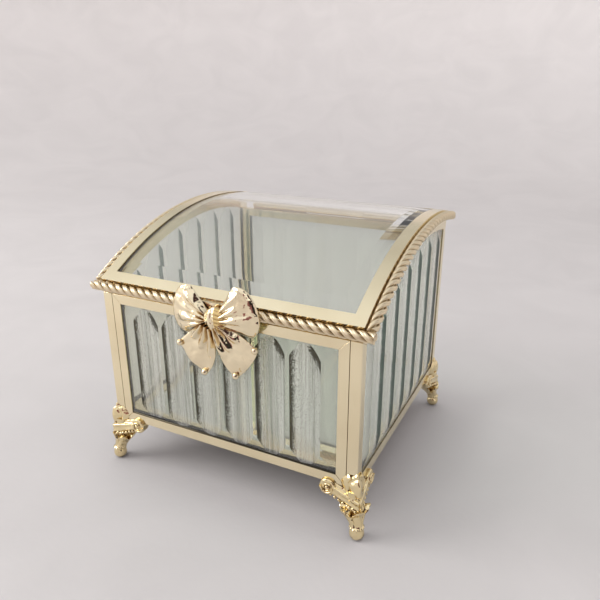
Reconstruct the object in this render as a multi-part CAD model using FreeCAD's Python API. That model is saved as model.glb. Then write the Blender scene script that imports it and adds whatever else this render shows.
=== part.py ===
"""Glass jewelry box: bevelled, fluted glass walls in mitred brass channel, a bent glass lid with a
twisted rope edge and a cast bow, a tube hinge, a mirror floor and four cast feet.

Millimetres, +Z up, front towards -Y. While the pieces are made, the middle of the case's footprint is
the zero of X and Y and the table is Z = 0. The finished pieces are moved together, so that the origin is
the bottom centre of the whole object.
"""
import FreeCAD, Part
import math
import os

Vector = FreeCAD.Vector

# Case
case_width = 102.0
case_depth = 96.3
foot_height = 18.4
front_height = 52.8
back_height = 70.3
arch_radius = 125.6

# Brass channel that is folded round every glass edge
channel_wall = 0.35
channel_gap = 3.2
case_flange = 3.6
lid_flange = 4.4
seam_gap = 0.15

# Glass
glass_thickness = 3.8
glass_fit = 0.03
bevel_width = 5.6
flute_width = 11.2
flute_depth = 0.6
front_flute_pitch = 12.8
side_flute_pitch = 13.2
mirror_thickness = 3.1

# Lid
lid_gap = 0.4
lid_overhang = 0.4
front_skirt = 1.6
skirt_clearance = 0.5

# Twisted rope trim on the lid's edge
rope_diameter = 3.6
rope_strands = 3
rope_crease = 1.05
rope_crown = 1.8
strand_pitch = 3.4
steps_per_turn = 6
rope_fit = 0.05
rope_end_gap = 0.1

# Hinge
barrel_diameter = 3.0
pin_diameter = 1.5
pin_clearance = 0.05
pin_end = 0.5
barrel_clearance = 0.7
barrel_drop_angle = 54.6
knuckle_gap = 0.15
hinge_inset = 8.0
leaf_thickness = 0.4
leaf_height = 2.6
rail_clearance = 0.1

# Cast bow
bow_tilt = 5.7
bow_offset = 0.8
bow_loop_reach = 16.9
bow_loop_angle = 13.0
bow_loop_spread = 40.0
bow_loop_depth = 5.0
bow_loop_edge = 0.6
bow_folds = 4
bow_fold_depth = 1.3
bow_tail_corner_x = 15.9
bow_tail_corner_drop = 9.2
bow_tail_tip_x = 6.1
bow_tail_tip_drop = 20.2
bow_tail_bulge = 1.2
bow_tail_thickness = 1.4
bow_tail_stand_off = 2.0
bow_finger_height = 1.2
bow_curl_diameter = 2.6
bow_knot_width = 8.0
bow_knot_height = 9.0
bow_knot_depth = 5.0
bow_knot_drop = 2.4
bow_stem_width = 9.6
bow_fit = 0.05

# Cast feet
foot_arm = 10.2
foot_arm_height = 4.8
foot_arm_width = 3.6
foot_arm_proud = 1.2
foot_volute_diameter = 6.2
foot_volute_thickness = 3.6
foot_volute_drop = 1.4
foot_shield_width = 8.0
foot_shield_height = 8.8
foot_shield_proud = 2.6
foot_shield_rise = 6.4
foot_neck_diameter = 5.6
foot_collar_width = 10.2
foot_collar_depth = 8.6
foot_collar_height = 10.3
foot_inset = 1.7
foot_leaves = 5
foot_leaf_depth = 0.8
foot_leaf_tip = 0.8
toe_diameter = 5.1
toe_flat = 0.2
toe_reach = 0.7

# Sizes that follow from the ones above
channel = channel_gap + 2 * channel_wall
half_width = case_width / 2
half_depth = case_depth / 2
front_top = foot_height + front_height
back_top = foot_height + back_height
bevel_drop = glass_thickness - channel_gap + glass_fit
inner_half_width = half_width - channel - seam_gap
inner_half_depth = half_depth - channel - seam_gap


def arch_centre():
    """Returns the Y and Z of the centre of the arch through the case's front and back top corners."""
    half_chord = math.hypot(case_depth, back_top - front_top) / 2
    height = math.sqrt(arch_radius ** 2 - half_chord ** 2)
    slope = math.atan2(back_top - front_top, case_depth)
    middle_z = (front_top + back_top) / 2
    return height * math.sin(slope), middle_z - height * math.cos(slope)


centre_y, centre_z = arch_centre()
lid_low = arch_radius + lid_gap
lid_top = lid_low + channel
lid_half = half_width + lid_overhang
front_angle = math.asin((half_depth + centre_y) / lid_top)
back_angle = math.asin((half_depth - centre_y) / lid_top)
wall_angle = channel_wall / lid_top


def lid_point(x, radius, angle):
    """Returns a point of the lid from its radius and its angle behind the arch's centre."""
    return Vector(x, centre_y + radius * math.sin(angle), centre_z + radius * math.cos(angle))


def radial(angle):
    """Returns the lid's outward direction at an angle."""
    return Vector(0, math.sin(angle), math.cos(angle))


def backward(angle):
    """Returns the direction along the lid's arc, towards the back."""
    return Vector(0, math.cos(angle), -math.sin(angle))


def polygon_face(points):
    """Returns the flat face inside a closed run of points."""
    return Part.Face(Part.makePolygon(points + [points[0]]))


def ring_sector(x0, x1, radius0, radius1, angle0, angle1):
    """Returns a block bent about the arch's centre, between two X, two radii and two angles."""
    corners = [(x0, radius0), (x1, radius0), (x1, radius1), (x0, radius1)]
    face = polygon_face([lid_point(x, radius, angle1) for x, radius in corners])
    axis_point = Vector(0, centre_y, centre_z)
    return face.revolve(axis_point, Vector(1, 0, 0), math.degrees(angle1 - angle0))


def largest_solid(shape):
    """Returns the one solid of a shape that a boolean left in a compound."""
    return max(shape.Solids, key=lambda solid: solid.Volume)


# Flat panels, drawn in their own plane: U across, V up, and W outwards from the inner face

def stand(shape, across, outward, origin):
    """Moves a flat panel's piece from U, V, W into place."""
    matrix = FreeCAD.Matrix(across.x, 0, outward.x, origin.x,
                            across.y, 0, outward.y, origin.y,
                            0, 1, 0, origin.z,
                            0, 0, 0, 1)
    return shape.transformed(matrix)


def mitre_point(corner, cut, normal, offset):
    """Returns the point of a mitre line that lies an offset inside an edge."""
    return corner + cut * (offset / cut.dot(normal))


def straight_rail(start, end, start_cut, end_cut, flange):
    """Returns a mitred channel along an edge, with the panel on the left of start to end."""
    along = (end - start).normalize()
    normal = Vector(-along.y, along.x, 0)

    def strip(near, far):
        return polygon_face([mitre_point(start, start_cut, normal, near),
                             mitre_point(end, end_cut, normal, near),
                             mitre_point(end, end_cut, normal, far),
                             mitre_point(start, start_cut, normal, far)])

    block = strip(0, flange).extrude(Vector(0, 0, channel))
    slot = strip(channel_wall, flange + channel_wall).extrude(Vector(0, 0, channel_gap))
    slot.translate(Vector(0, 0, channel_wall))
    return block.cut(slot)


def arch_height(u, inset):
    """Returns the V of the arch at U, on the circle that lies an inset inside it."""
    return centre_z + math.sqrt((arch_radius - inset) ** 2 - (u - centre_y) ** 2)


def arch_crossing(corner, cut, inset):
    """Returns where a mitre line from a corner crosses the circle an inset inside the arch."""
    centre = Vector(centre_y, centre_z, 0)
    to_corner = corner - centre
    half_b = to_corner.dot(cut)
    c = to_corner.dot(to_corner) - (arch_radius - inset) ** 2
    return corner + cut * (-half_b - math.sqrt(half_b ** 2 - c))


def arch_strip(front, back, front_cut, back_cut, near, far):
    """Returns the face between two circles inside the arch, cut off along the two mitre lines."""
    edges = []
    for inset in (near, far):
        first = arch_crossing(front, front_cut, inset)
        last = arch_crossing(back, back_cut, inset)
        top = Vector(centre_y, centre_z + arch_radius - inset, 0)
        edges.append((first, top, last))
    outer, inner = edges
    wire = Part.Wire([Part.Arc(*outer).toShape(),
                      Part.makeLine(outer[2], inner[2]),
                      Part.Arc(*reversed(inner)).toShape(),
                      Part.makeLine(inner[0], outer[0])])
    return Part.Face(wire)


def edge_bevel(start, end, rim, flange):
    """Returns the wedge that bevels a glass plate along one straight edge of its panel."""
    along = (end - start).normalize()
    inward = Vector(-along.y, along.x, 0)
    face_w = channel_wall + glass_thickness
    line = flange + bevel_width
    slope = bevel_drop / bevel_width
    outside = rim + bevel_width

    def at(offset, w):
        return start - along * outside + inward * offset + Vector(0, 0, w)

    section = polygon_face([at(line, face_w),
                            at(-outside, face_w - slope * (line + outside)),
                            at(-outside, face_w + glass_thickness),
                            at(line, face_w + glass_thickness)])
    return section.extrude(along * ((end - start).Length + 2 * outside))


def arch_bevel():
    """Returns the ring that bevels a side plate along its arch."""
    face_w = channel_wall + glass_thickness
    line = case_flange + bevel_width
    slope = bevel_drop / bevel_width

    def at(offset, w):
        return Vector(centre_y, centre_z + arch_radius - offset, w)

    section = polygon_face([at(line, face_w),
                            at(-bevel_width, face_w - slope * (line + bevel_width)),
                            at(-bevel_width, face_w + glass_thickness),
                            at(line, face_w + glass_thickness)])
    return section.revolve(Vector(centre_y, centre_z, 0), Vector(0, 0, 1), 360)


def flutes(clear_from, clear_to, pitch, low, high):
    """Returns the round cutters of the flutes that fit between two U, with their middle in between."""
    radius = (flute_width ** 2 / 4 + flute_depth ** 2) / (2 * flute_depth)
    count = int((clear_to - clear_from - flute_width) / pitch) + 1
    first = (clear_from + clear_to - (count - 1) * pitch) / 2
    axis_w = channel_wall + glass_thickness - flute_depth + radius
    return [Part.makeCylinder(radius, high - low, Vector(first + index * pitch, low, axis_w), Vector(0, 1, 0))
            for index in range(count)]


def square_panel(half, low, high):
    """Returns the glass and the four rails of a flat square-topped panel, in its own plane."""
    corners = [Vector(-half, low, 0), Vector(half, low, 0), Vector(half, high, 0), Vector(-half, high, 0)]
    cuts = [Vector(1, 1, 0), Vector(-1, 1, 0), Vector(-1, -1, 0), Vector(1, -1, 0)]
    names = ["bottom_rail", "right_stile", "top_rail", "left_stile"]
    pieces = {}
    rim = channel_wall + glass_fit
    plate = Part.makeBox(2 * (half - rim), high - low - 2 * rim, glass_thickness,
                         Vector(-half + rim, low + rim, channel_wall))
    cutters = flutes(-half + case_flange + bevel_width, half - case_flange - bevel_width,
                     front_flute_pitch, low, high)
    for index, name in enumerate(names):
        after = (index + 1) % len(names)
        pieces[name] = straight_rail(corners[index], corners[after], cuts[index], cuts[after], case_flange)
        cutters.append(edge_bevel(corners[index], corners[after], rim, case_flange))
    pieces["glass"] = plate.cut(cutters)
    return pieces


def arched_panel():
    """Returns the glass and the four rails of a side panel with its arched top, in its own plane."""
    low = foot_height
    front_low = Vector(-half_depth, low, 0)
    back_low = Vector(half_depth, low, 0)
    front_high = Vector(-half_depth, front_top, 0)
    back_high = Vector(half_depth, back_top, 0)
    front_inner_u = -half_depth + case_flange
    back_inner_u = half_depth - case_flange
    front_cut = Vector(front_inner_u, arch_height(front_inner_u, case_flange), 0) - front_high
    back_cut = Vector(back_inner_u, arch_height(back_inner_u, case_flange), 0) - back_high
    low_front_cut = Vector(1, 1, 0)
    low_back_cut = Vector(-1, 1, 0)
    pieces = {
        "bottom_rail": straight_rail(front_low, back_low, low_front_cut, low_back_cut, case_flange),
        "back_stile": straight_rail(back_low, back_high, low_back_cut, back_cut, case_flange),
        "front_stile": straight_rail(front_high, front_low, front_cut, low_front_cut, case_flange),
    }
    front_cut.normalize()
    back_cut.normalize()
    block = arch_strip(front_high, back_high, front_cut, back_cut, 0, case_flange)
    slot = arch_strip(front_high, back_high, front_cut, back_cut, channel_wall, case_flange + channel_wall)
    slot.translate(Vector(0, 0, channel_wall))
    slot = slot.extrude(Vector(0, 0, channel_gap))
    pieces["arch_rail"] = block.extrude(Vector(0, 0, channel)).cut(slot)
    rim = channel_wall + glass_fit
    front_u = -half_depth + rim
    back_u = half_depth - rim
    outline = Part.Wire([
        Part.makeLine(Vector(front_u, low + rim, 0), Vector(back_u, low + rim, 0)),
        Part.makeLine(Vector(back_u, low + rim, 0), Vector(back_u, arch_height(back_u, rim), 0)),
        Part.Arc(Vector(back_u, arch_height(back_u, rim), 0),
                 Vector(centre_y, centre_z + arch_radius - rim, 0),
                 Vector(front_u, arch_height(front_u, rim), 0)).toShape(),
        Part.makeLine(Vector(front_u, arch_height(front_u, rim), 0), Vector(front_u, low + rim, 0))])
    plate = Part.Face(outline).extrude(Vector(0, 0, glass_thickness))
    plate.translate(Vector(0, 0, channel_wall))
    cutters = flutes(front_inner_u + bevel_width, back_inner_u - bevel_width, side_flute_pitch,
                     low, centre_z + arch_radius)
    for start, end in ((front_low, back_low), (back_low, back_high), (front_high, front_low)):
        cutters.append(edge_bevel(start, end, rim, case_flange))
    cutters.append(arch_bevel())
    pieces["glass"] = plate.cut(cutters)
    return pieces


def hinge_axis():
    """Returns the Y and Z of the hinge pin, clear of the lid's lower back edge."""
    corner = lid_point(0, lid_low, back_angle)
    distance = barrel_diameter / 2 + barrel_clearance
    drop = math.radians(barrel_drop_angle)
    return corner.y + distance * math.cos(drop), corner.z - distance * math.sin(drop)


hinge_y, hinge_z = hinge_axis()
back_panel_top = hinge_z - barrel_diameter / 2 - rail_clearance


def case_panels():
    """Returns the front, back, left and right panels' pieces."""
    nodes = {}
    front = square_panel(inner_half_width, foot_height, front_top)
    back = square_panel(inner_half_width, foot_height, back_panel_top)
    side = arched_panel()
    front_origin = Vector(0, -half_depth + channel, 0)
    back_origin = Vector(0, half_depth - channel, 0)
    for name, shape in front.items():
        nodes["front_" + name] = stand(shape, Vector(1, 0, 0), Vector(0, -1, 0), front_origin)
    # The back is the same panel turned round, so its left and right change places
    turned_names = {"left_stile": "right_stile", "right_stile": "left_stile"}
    for name, shape in back.items():
        turned = stand(shape, Vector(-1, 0, 0), Vector(0, 1, 0), back_origin)
        nodes["back_" + turned_names.get(name, name)] = turned
    for name, shape in side.items():
        right = stand(shape, Vector(0, 1, 0), Vector(1, 0, 0), Vector(half_width - channel, 0, 0))
        nodes["right_" + name] = right
        nodes["left_" + name] = right.mirror(Vector(0, 0, 0), Vector(1, 0, 0))
    return nodes


def floor():
    """Returns the mirror floor and the four rails that hold it between the walls."""
    half_x = inner_half_width
    half_y = inner_half_depth
    corners = [Vector(-half_x, -half_y, 0), Vector(half_x, -half_y, 0),
               Vector(half_x, half_y, 0), Vector(-half_x, half_y, 0)]
    cuts = [Vector(1, 1, 0), Vector(-1, 1, 0), Vector(-1, -1, 0), Vector(1, -1, 0)]
    names = ["floor_front_rail", "floor_right_rail", "floor_back_rail", "floor_left_rail"]
    rim = channel_wall + glass_fit
    nodes = {"floor_mirror": Part.makeBox(2 * (half_x - rim), 2 * (half_y - rim), mirror_thickness,
                                          Vector(-half_x + rim, -half_y + rim, channel_wall))}
    for index, name in enumerate(names):
        after = (index + 1) % len(names)
        nodes[name] = straight_rail(corners[index], corners[after], cuts[index], cuts[after], case_flange)
    for shape in nodes.values():
        shape.translate(Vector(0, 0, foot_height))
    return nodes


# Lid

def mitre_side(x, angle, keep):
    """Returns the block on one side of the lid's mitre plane at a corner, the side that keep points to."""
    corner = lid_point(x, lid_top, angle)
    inward_x = Vector(-math.copysign(1, x), 0, 0)
    inward_arc = backward(angle) * -math.copysign(1, angle)
    diagonal = (inward_x + inward_arc).normalize()
    across = radial(angle)
    size = 3 * (lid_flange + channel)
    square = polygon_face([corner + diagonal * (a * size) + across * (b * size)
                           for a, b in ((-1, -1), (1, -1), (1, 1), (-1, 1))])
    normal = diagonal.cross(across)
    away = keep - corner
    return square.extrude(normal * math.copysign(size, normal.dot(away)))


def lid_side_rail():
    """Returns the right curved channel of the lid, mitred at both ends."""
    block = ring_sector(lid_half - lid_flange, lid_half, lid_low, lid_top, -front_angle, back_angle)
    slot = ring_sector(lid_half - lid_flange - channel_wall, lid_half - channel_wall,
                       lid_low + channel_wall, lid_top - channel_wall,
                       -front_angle - wall_angle, back_angle + wall_angle)
    rail = block.cut(slot)
    for angle in (-front_angle, back_angle):
        beyond = lid_point(0, lid_top, angle)
        rail = rail.cut(mitre_side(lid_half, angle, beyond))
    return largest_solid(rail)


def lid_cross_rail(angle, skirt):
    """Returns the straight channel at the lid's front or back edge, with an optional skirt below it."""
    inward = -math.copysign(1, angle)
    flange_end = angle + inward * lid_flange / lid_top
    slot_start = angle + inward * wall_angle
    slot_end = flange_end + inward * wall_angle
    block = ring_sector(-lid_half, lid_half, lid_low, lid_top, min(angle, flange_end), max(angle, flange_end))
    slot = ring_sector(-lid_half, lid_half, lid_low + channel_wall, lid_top - channel_wall,
                       min(slot_start, slot_end), max(slot_start, slot_end))
    rail = block.cut(slot)
    for x in (-lid_half, lid_half):
        beyond = lid_point(x, lid_top, 0)
        rail = rail.cut(mitre_side(x, angle, beyond))
    if skirt:
        skirt_half = half_width - channel - skirt_clearance
        rail = rail.fuse(ring_sector(-skirt_half, skirt_half, lid_low - skirt, lid_low + channel_wall,
                                     min(angle, slot_start), max(angle, slot_start)))
    return largest_solid(rail.removeSplitter())


def lid_glass():
    """Returns the bent lid glass, bevelled along all four edges."""
    rim = channel_wall + glass_fit
    under = lid_low + channel_wall + glass_fit
    face = under + glass_thickness
    half = lid_half - rim
    rim_angle = rim / lid_top
    plate = ring_sector(-half, half, under, face, -front_angle + rim_angle, back_angle - rim_angle)
    line = lid_flange + bevel_width
    slope = (bevel_drop + glass_fit) / bevel_width
    edge_drop = slope * (line + bevel_width)
    for side in (-1, 1):
        section = polygon_face([lid_point(side * (lid_half - line), face, back_angle),
                                lid_point(side * (lid_half + bevel_width), face - edge_drop, back_angle),
                                lid_point(side * (lid_half + bevel_width), face + glass_thickness, back_angle),
                                lid_point(side * (lid_half - line), face + glass_thickness, back_angle)])
        axis_point = Vector(0, centre_y, centre_z)
        plate = plate.cut(section.revolve(axis_point, Vector(1, 0, 0), math.degrees(front_angle + back_angle)))
    for angle in (-front_angle, back_angle):
        inward = -math.copysign(1, angle)
        start = lid_point(-lid_half, face, angle + inward * line / lid_top)
        lip = lid_point(-lid_half, face - slope * bevel_width, angle + inward * lid_flange / lid_top)
        run = (lip - start) * ((line + bevel_width) / bevel_width)
        lift = radial(angle) * glass_thickness
        section = polygon_face([start, start + run, start + run + lift, start + lift])
        plate = plate.cut(section.extrude(Vector(2 * lid_half, 0, 0)))
    return largest_solid(plate)


# Cast and wound forms, in flat facets

def faceted(sections):
    """Returns the solid through closed outlines of equal counts, in flat triangles, closed at both ends."""
    faces = []
    for near, far in zip(sections, sections[1:]):
        for corner in range(len(near)):
            after = (corner + 1) % len(near)
            faces.append(polygon_face([near[corner], near[after], far[after]]))
            faces.append(polygon_face([near[corner], far[after], far[corner]]))
    for outline in (sections[0], sections[-1]):
        middle = Vector(0, 0, 0)
        for point in outline:
            middle += point / len(outline)
        for corner in range(len(outline)):
            faces.append(polygon_face([outline[corner - 1], outline[corner], middle]))
    shell = Part.makeShell(faces)
    shell.sewShape()
    solid = Part.makeSolid(shell)
    if solid.Volume < 0:
        solid.reverse()
    return solid


# Rope trim: three strands laid round each other, as one solid with three round lobes

def rope_section(place, right, up, turn):
    """Returns the corners of the rope's outline where it crosses a plane, turned by its lay."""
    step = 2 * math.pi / rope_strands
    corners = []
    for strand in range(rope_strands):
        for share, radius in ((-0.5, rope_crease), (-0.18, rope_crown), (0.18, rope_crown)):
            angle = turn + step * (strand + share)
            corners.append(place + right * (radius * math.cos(angle)) + up * (radius * math.sin(angle)))
    return corners


def rope(place_at, length):
    """Returns a laid rope of a length, from a function that gives its place, right and up at a distance."""
    turn_length = strand_pitch * rope_strands
    count = max(2, int(math.ceil(length / turn_length * steps_per_turn)))
    sections = []
    for index in range(count + 1):
        distance = length * index / count
        place, right, up = place_at(distance)
        sections.append(rope_section(place, right, up, -2 * math.pi * distance / turn_length))
    return faceted(sections)


rope_radius = (lid_low + lid_top) / 2
rope_offset = rope_diameter / 2 + rope_fit


def front_ropes():
    """Returns the two lengths of rope along the lid's front edge, on either side of the bow's stem."""
    out = backward(-front_angle) * -1
    up = radial(-front_angle)
    ends = bow_stem_width / 2 + rope_end_gap
    length = lid_half + rope_diameter - ends
    lengths = []
    for x in (-ends - length, ends):
        start = lid_point(x, rope_radius, -front_angle) + out * rope_offset
        lengths.append(rope(lambda distance: (start + Vector(distance, 0, 0), out, up), length))
    return lengths


def side_rope(side):
    """Returns the rope along the lid's right or left edge, whose lay runs on from the front rope's."""
    front_end = -front_angle + rope_end_gap / rope_radius
    first = front_end if side > 0 else back_angle
    length = (back_angle - front_end) * rope_radius

    def place_at(distance):
        angle = first + side * distance / rope_radius
        return lid_point(side * (lid_half + rope_offset), rope_radius, angle), Vector(side, 0, 0), radial(angle)

    return rope(place_at, length)


# Bow, drawn about the knot's middle, with its back at Y = 0

fold_points = 17
loop_stations = 7
finger_points = 13
tail_stations = 5
curl_points = 6
knot_points = 9
knot_levels = 6


def rounded(share):
    """Returns the height of a half circle over its middle, from a share of -1 to 1."""
    return math.sqrt(max(1 - share * share, 0))


def bow_loop(side):
    """Returns one gathered loop: a fan of folds that runs out into a full, round rim."""
    def spot(fan, out, depth):
        angle = math.radians(bow_loop_angle + bow_loop_spread * fan)
        reach = bow_loop_reach * (1 - 0.2 * abs(fan) ** 4) * (0.08 + 0.92 * out)
        return Vector(side * reach * math.cos(angle), -depth, reach * math.sin(angle))

    sections = []
    for station in range(loop_stations):
        out = math.sin(0.96 * math.pi / 2 * station / (loop_stations - 1))
        edge = bow_loop_edge + bow_loop_edge * (1 - out)
        swell = (bow_loop_depth - edge) * rounded(out ** 2) * (0.62 + 0.38 * math.sin(math.pi * min(out + 0.15, 1)))
        outline = []
        for index in range(fold_points):
            fan = math.sin(math.pi / 2 * (2 * index / (fold_points - 1) - 1))
            crease = 0.5 - 0.5 * math.cos(math.pi * bow_folds * (fan + 1))
            depth = swell - bow_fold_depth * (1 - crease) * (1 - out)
            outline.append(spot(fan, out, edge + max(depth, 0) * rounded(fan)))
        for fan in (0.6, 0, -0.6):
            outline.append(spot(fan, out, edge - 0.9 * bow_loop_edge * rounded(out)))
        sections.append(outline)
    return faceted(sections)


def bow_tail(side):
    """Returns one flaring tail with three raised fingers under the knot and a curl at each lower corner."""
    tip = Vector(bow_tail_tip_x, 0, -bow_tail_tip_drop)
    corner = Vector(bow_tail_corner_x, 0, -bow_tail_corner_drop)
    inner_root = Vector(0.05 * bow_knot_width, 0, -0.3 * bow_knot_height)
    outer_root = Vector(0.5 * bow_knot_width, 0, -0.1 * bow_knot_height)
    inner_bend = Vector(-0.15 * bow_tail_tip_x, 0, -0.76 * bow_tail_tip_drop)
    outer_bend = (outer_root + corner) / 2 + Vector(0, 0, 0.1 * bow_tail_corner_drop)
    down = (tip + corner).normalize()

    def bent(start, middle, end, share):
        return start * (1 - share) ** 2 + middle * (2 * share * (1 - share)) + end * share ** 2

    sections = []
    for station in range(tail_stations):
        along = station / (tail_stations - 1)
        inner = bent(inner_root, inner_bend, tip, along)
        outer = bent(outer_root, outer_bend, corner, along)
        back = bow_tail_stand_off - bow_tail_thickness / 2
        outline = []
        for index in range(finger_points):
            wide = index / (finger_points - 1)
            place = inner + (outer - inner) * wide
            place += down * (bow_tail_bulge * 4 * wide * (1 - wide) * along ** 3)
            finger = 0.5 - 0.5 * math.cos(6 * math.pi * wide)
            height = bow_finger_height * finger * max(1 - 1.6 * along, 0)
            outline.append(Vector(side * place.x, -back - bow_tail_thickness - height, place.z))
        for edge in (outer, inner):
            outline.append(Vector(side * edge.x, -back, edge.z))
        sections.append(outline)
    tail = faceted(sections)
    curl = bow_curl_diameter / 2
    for place in (corner, tip):
        inward = (Vector(0.5 * corner.x, 0, 0.5 * tip.z) - place).normalize()
        middle = place + inward * (0.8 * curl)
        rings = []
        for depth, radius in ((-0.4, 0.8), (0.5, 1.0), (1.4, 0.5)):
            rings.append([Vector(side * (middle.x + radius * curl * math.cos(2 * math.pi * turn / curl_points)),
                                 -bow_tail_stand_off - depth * curl,
                                 middle.z + radius * curl * math.sin(2 * math.pi * turn / curl_points))
                          for turn in range(curl_points)])
        tail = tail.fuse(faceted(rings))
    return tail


def bow_knot():
    """Returns the knot: a short upright roll with wrapped folds on its front."""
    sections = []
    for level in range(knot_levels):
        rise = math.sin(0.94 * math.pi / 2 * (2 * level / (knot_levels - 1) - 1))
        full = rounded(rise)
        outline = []
        for index in range(knot_points):
            turn = math.pi * index / (knot_points - 1)
            wrap = 1 - 0.07 * (index % 2)
            outline.append(Vector(bow_knot_width / 2 * full * math.cos(turn),
                                  -bow_knot_depth * (0.25 + 0.75 * full) * wrap * math.sin(turn),
                                  bow_knot_height / 2 * rise))
        sections.append(outline)
    return faceted(sections)


def bow():
    """Returns the cast bow, with a stem on its back that meets the lid's front edge between the ropes."""
    whole = bow_knot().fuse([bow_loop(1), bow_loop(-1), bow_tail(1), bow_tail(-1)])
    whole.rotate(Vector(0, 0, 0), Vector(0, -1, 0), bow_tilt)
    rope_centre = lid_point(0, rope_radius, -front_angle) - backward(-front_angle) * rope_offset
    back = rope_centre.y - rope_diameter / 2 - bow_fit
    whole.translate(Vector(bow_offset, back, rope_centre.z - bow_knot_drop))
    seat = backward(-front_angle) * bow_fit
    low = lid_point(-bow_stem_width / 2, lid_low, -front_angle) - seat
    high = lid_point(-bow_stem_width / 2, lid_top, -front_angle) - seat
    reach = back - bow_loop_edge
    stem = polygon_face([low, high, Vector(low.x, reach, high.z), Vector(low.x, reach, low.z)])
    return largest_solid(whole.fuse(stem.extrude(Vector(bow_stem_width, 0, 0))).removeSplitter())


# Feet

points_per_leaf = 2
volute_points = 10
arm_stations = 3


def foot_arm_with_volute(along, outward):
    """Returns one arm of a foot's saddle, from the corner along a wall, with ribs and a volute at its end."""
    inset = outward * (foot_arm_proud - foot_arm_width / 2)
    volute_radius = foot_volute_diameter / 2
    end = inset + along * foot_arm + Vector(0, 0, foot_height - foot_volute_drop)
    root = inset + Vector(0, 0, foot_height - 1.1 * foot_arm_height)
    up = Vector(0, 0, 1)
    # Shares of the arm's half width and half height round its outline: three ribs on its outer face
    outline = [(-1, -0.8), (0.7, -1), (1, -0.7), (0.75, -0.36), (1, 0), (0.75, 0.36), (1, 0.7), (0.7, 1), (-1, 0.8)]
    sections = []
    for station in range(arm_stations):
        share = station / (arm_stations - 1)
        place = root + (end - root) * share - up * (0.5 * math.sin(math.pi * share))
        height = foot_arm_height * (1 - 0.15 * share) / 2
        sections.append([place + outward * (a * foot_arm_width / 2) + up * (b * height) for a, b in outline])
    arm = faceted(sections)
    rings = []
    for depth, radius in ((-0.5, 1), (0.45, 1), (0.35, 0.6), (0.62, 0.25)):
        middle = end + outward * (depth * foot_volute_thickness)
        rings.append([middle + along * (radius * volute_radius * math.cos(2 * math.pi * turn / volute_points))
                      + up * (radius * volute_radius * math.sin(2 * math.pi * turn / volute_points))
                      for turn in range(volute_points)])
    return arm.fuse(faceted(rings))


def foot_leg(out, across):
    """Returns the leg: a ball toe, a shank that flares into a collar of leaves, and a neck above it."""
    toe_radius = toe_diameter / 2
    toe_z = toe_radius - toe_flat
    toe_out = toe_reach * math.sqrt(2)
    neck_half = foot_neck_diameter / 2
    collar_out = foot_collar_depth / 2
    collar_across = foot_collar_width / 2
    ankle_z = toe_z + 0.5 * toe_diameter
    flare = foot_collar_height - ankle_z
    # Height, reach outwards, half depth, half width, and how strongly the leaves show
    levels = [(toe_z + toe_radius * rise, toe_out, toe_radius * rounded(rise), toe_radius * rounded(rise), 0)
              for rise in (-toe_z / toe_radius, -0.5, 0.25)]
    levels += [(ankle_z - 0.1 * toe_diameter, toe_out, 0.8 * toe_radius, 0.8 * toe_radius, 0),
               (ankle_z, toe_out, toe_radius, toe_radius, 0),
               (ankle_z + 0.15 * flare, 0.9 * toe_out, 0.9 * toe_radius, 0.9 * toe_radius, 0.2),
               (ankle_z + 0.6 * flare, 0.2 * toe_out - 0.4 * foot_inset, 0.68 * collar_out, 0.68 * collar_across, 0.6),
               (foot_collar_height, -foot_inset, collar_out, collar_across, 1),
               (foot_collar_height + 0.1 * flare, -foot_inset, 0.8 * collar_out, 0.8 * collar_across, 1),
               (foot_collar_height + 0.3 * flare, -foot_inset, neck_half, neck_half, 0),
               (foot_height, -foot_inset, neck_half, 1.2 * neck_half, 0)]
    rings = []
    ring_points = points_per_leaf * foot_leaves
    for z, reach, half_out, half_across, leafy in levels:
        ring = []
        for index in range(ring_points):
            turn = 2 * math.pi * index / ring_points
            leaf = math.cos(foot_leaves * turn) * leafy
            ring.append(out * (reach + (half_out + foot_leaf_depth * leaf) * math.cos(turn))
                        + across * ((half_across + foot_leaf_depth * leaf) * math.sin(turn))
                        + Vector(0, 0, z + foot_leaf_tip * leaf))
        rings.append(ring)
    return faceted(rings)


def foot_shield(out, across):
    """Returns the shield on the corner: a leaf with a sharp middle ridge between two hollow faces."""
    base_z = foot_height + foot_shield_rise - foot_shield_height
    sections = []
    # Share of the shield's height, width and depth from its lower point to its upper one
    for rise, wide, proud in ((0, 0.2, 0.3), (0.22, 0.8, 0.8), (0.5, 1, 1), (0.8, 0.7, 0.7), (1, 0.12, 0.15)):
        half = wide * foot_shield_width / 2
        front = proud * foot_shield_proud
        place = Vector(0, 0, base_z + rise * foot_shield_height)
        outline = [(-foot_shield_proud, -half), (0.35 * front, -half), (0.45 * front, -0.5 * half), (front, 0),
                   (0.45 * front, 0.5 * half), (0.35 * front, half), (-foot_shield_proud, half)]
        sections.append([place + out * a + across * b for a, b in outline])
    return faceted(sections)


def foot():
    """Returns the cast foot under the front right corner, with that corner at X = Y = 0."""
    right = Vector(1, 0, 0)
    ahead = Vector(0, -1, 0)
    out = (right + ahead).normalize()
    across = Vector(-out.y, out.x, 0)
    whole = foot_leg(out, across).fuse([foot_shield(out, across),
                                        foot_arm_with_volute(right * -1, ahead),
                                        foot_arm_with_volute(ahead * -1, right)])
    case_room = Part.makeBox(case_width, case_depth, front_height,
                             Vector(-case_width, 0, foot_height))
    below = Part.makeBox(case_width, case_depth, foot_height,
                         Vector(-half_width, -half_depth, -foot_height))
    return largest_solid(whole.cut([case_room, below]).removeSplitter())


def feet():
    """Returns the four feet, each the mirror image of its neighbours."""
    corner = foot()
    corner.translate(Vector(half_width, -half_depth, 0))
    origin = Vector(0, 0, 0)
    other = corner.mirror(origin, Vector(1, 0, 0))
    return {
        "foot_front_right": corner,
        "foot_front_left": other,
        "foot_back_right": corner.mirror(origin, Vector(0, 1, 0)),
        "foot_back_left": other.mirror(origin, Vector(0, 1, 0)),
    }


# Hinge

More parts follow.
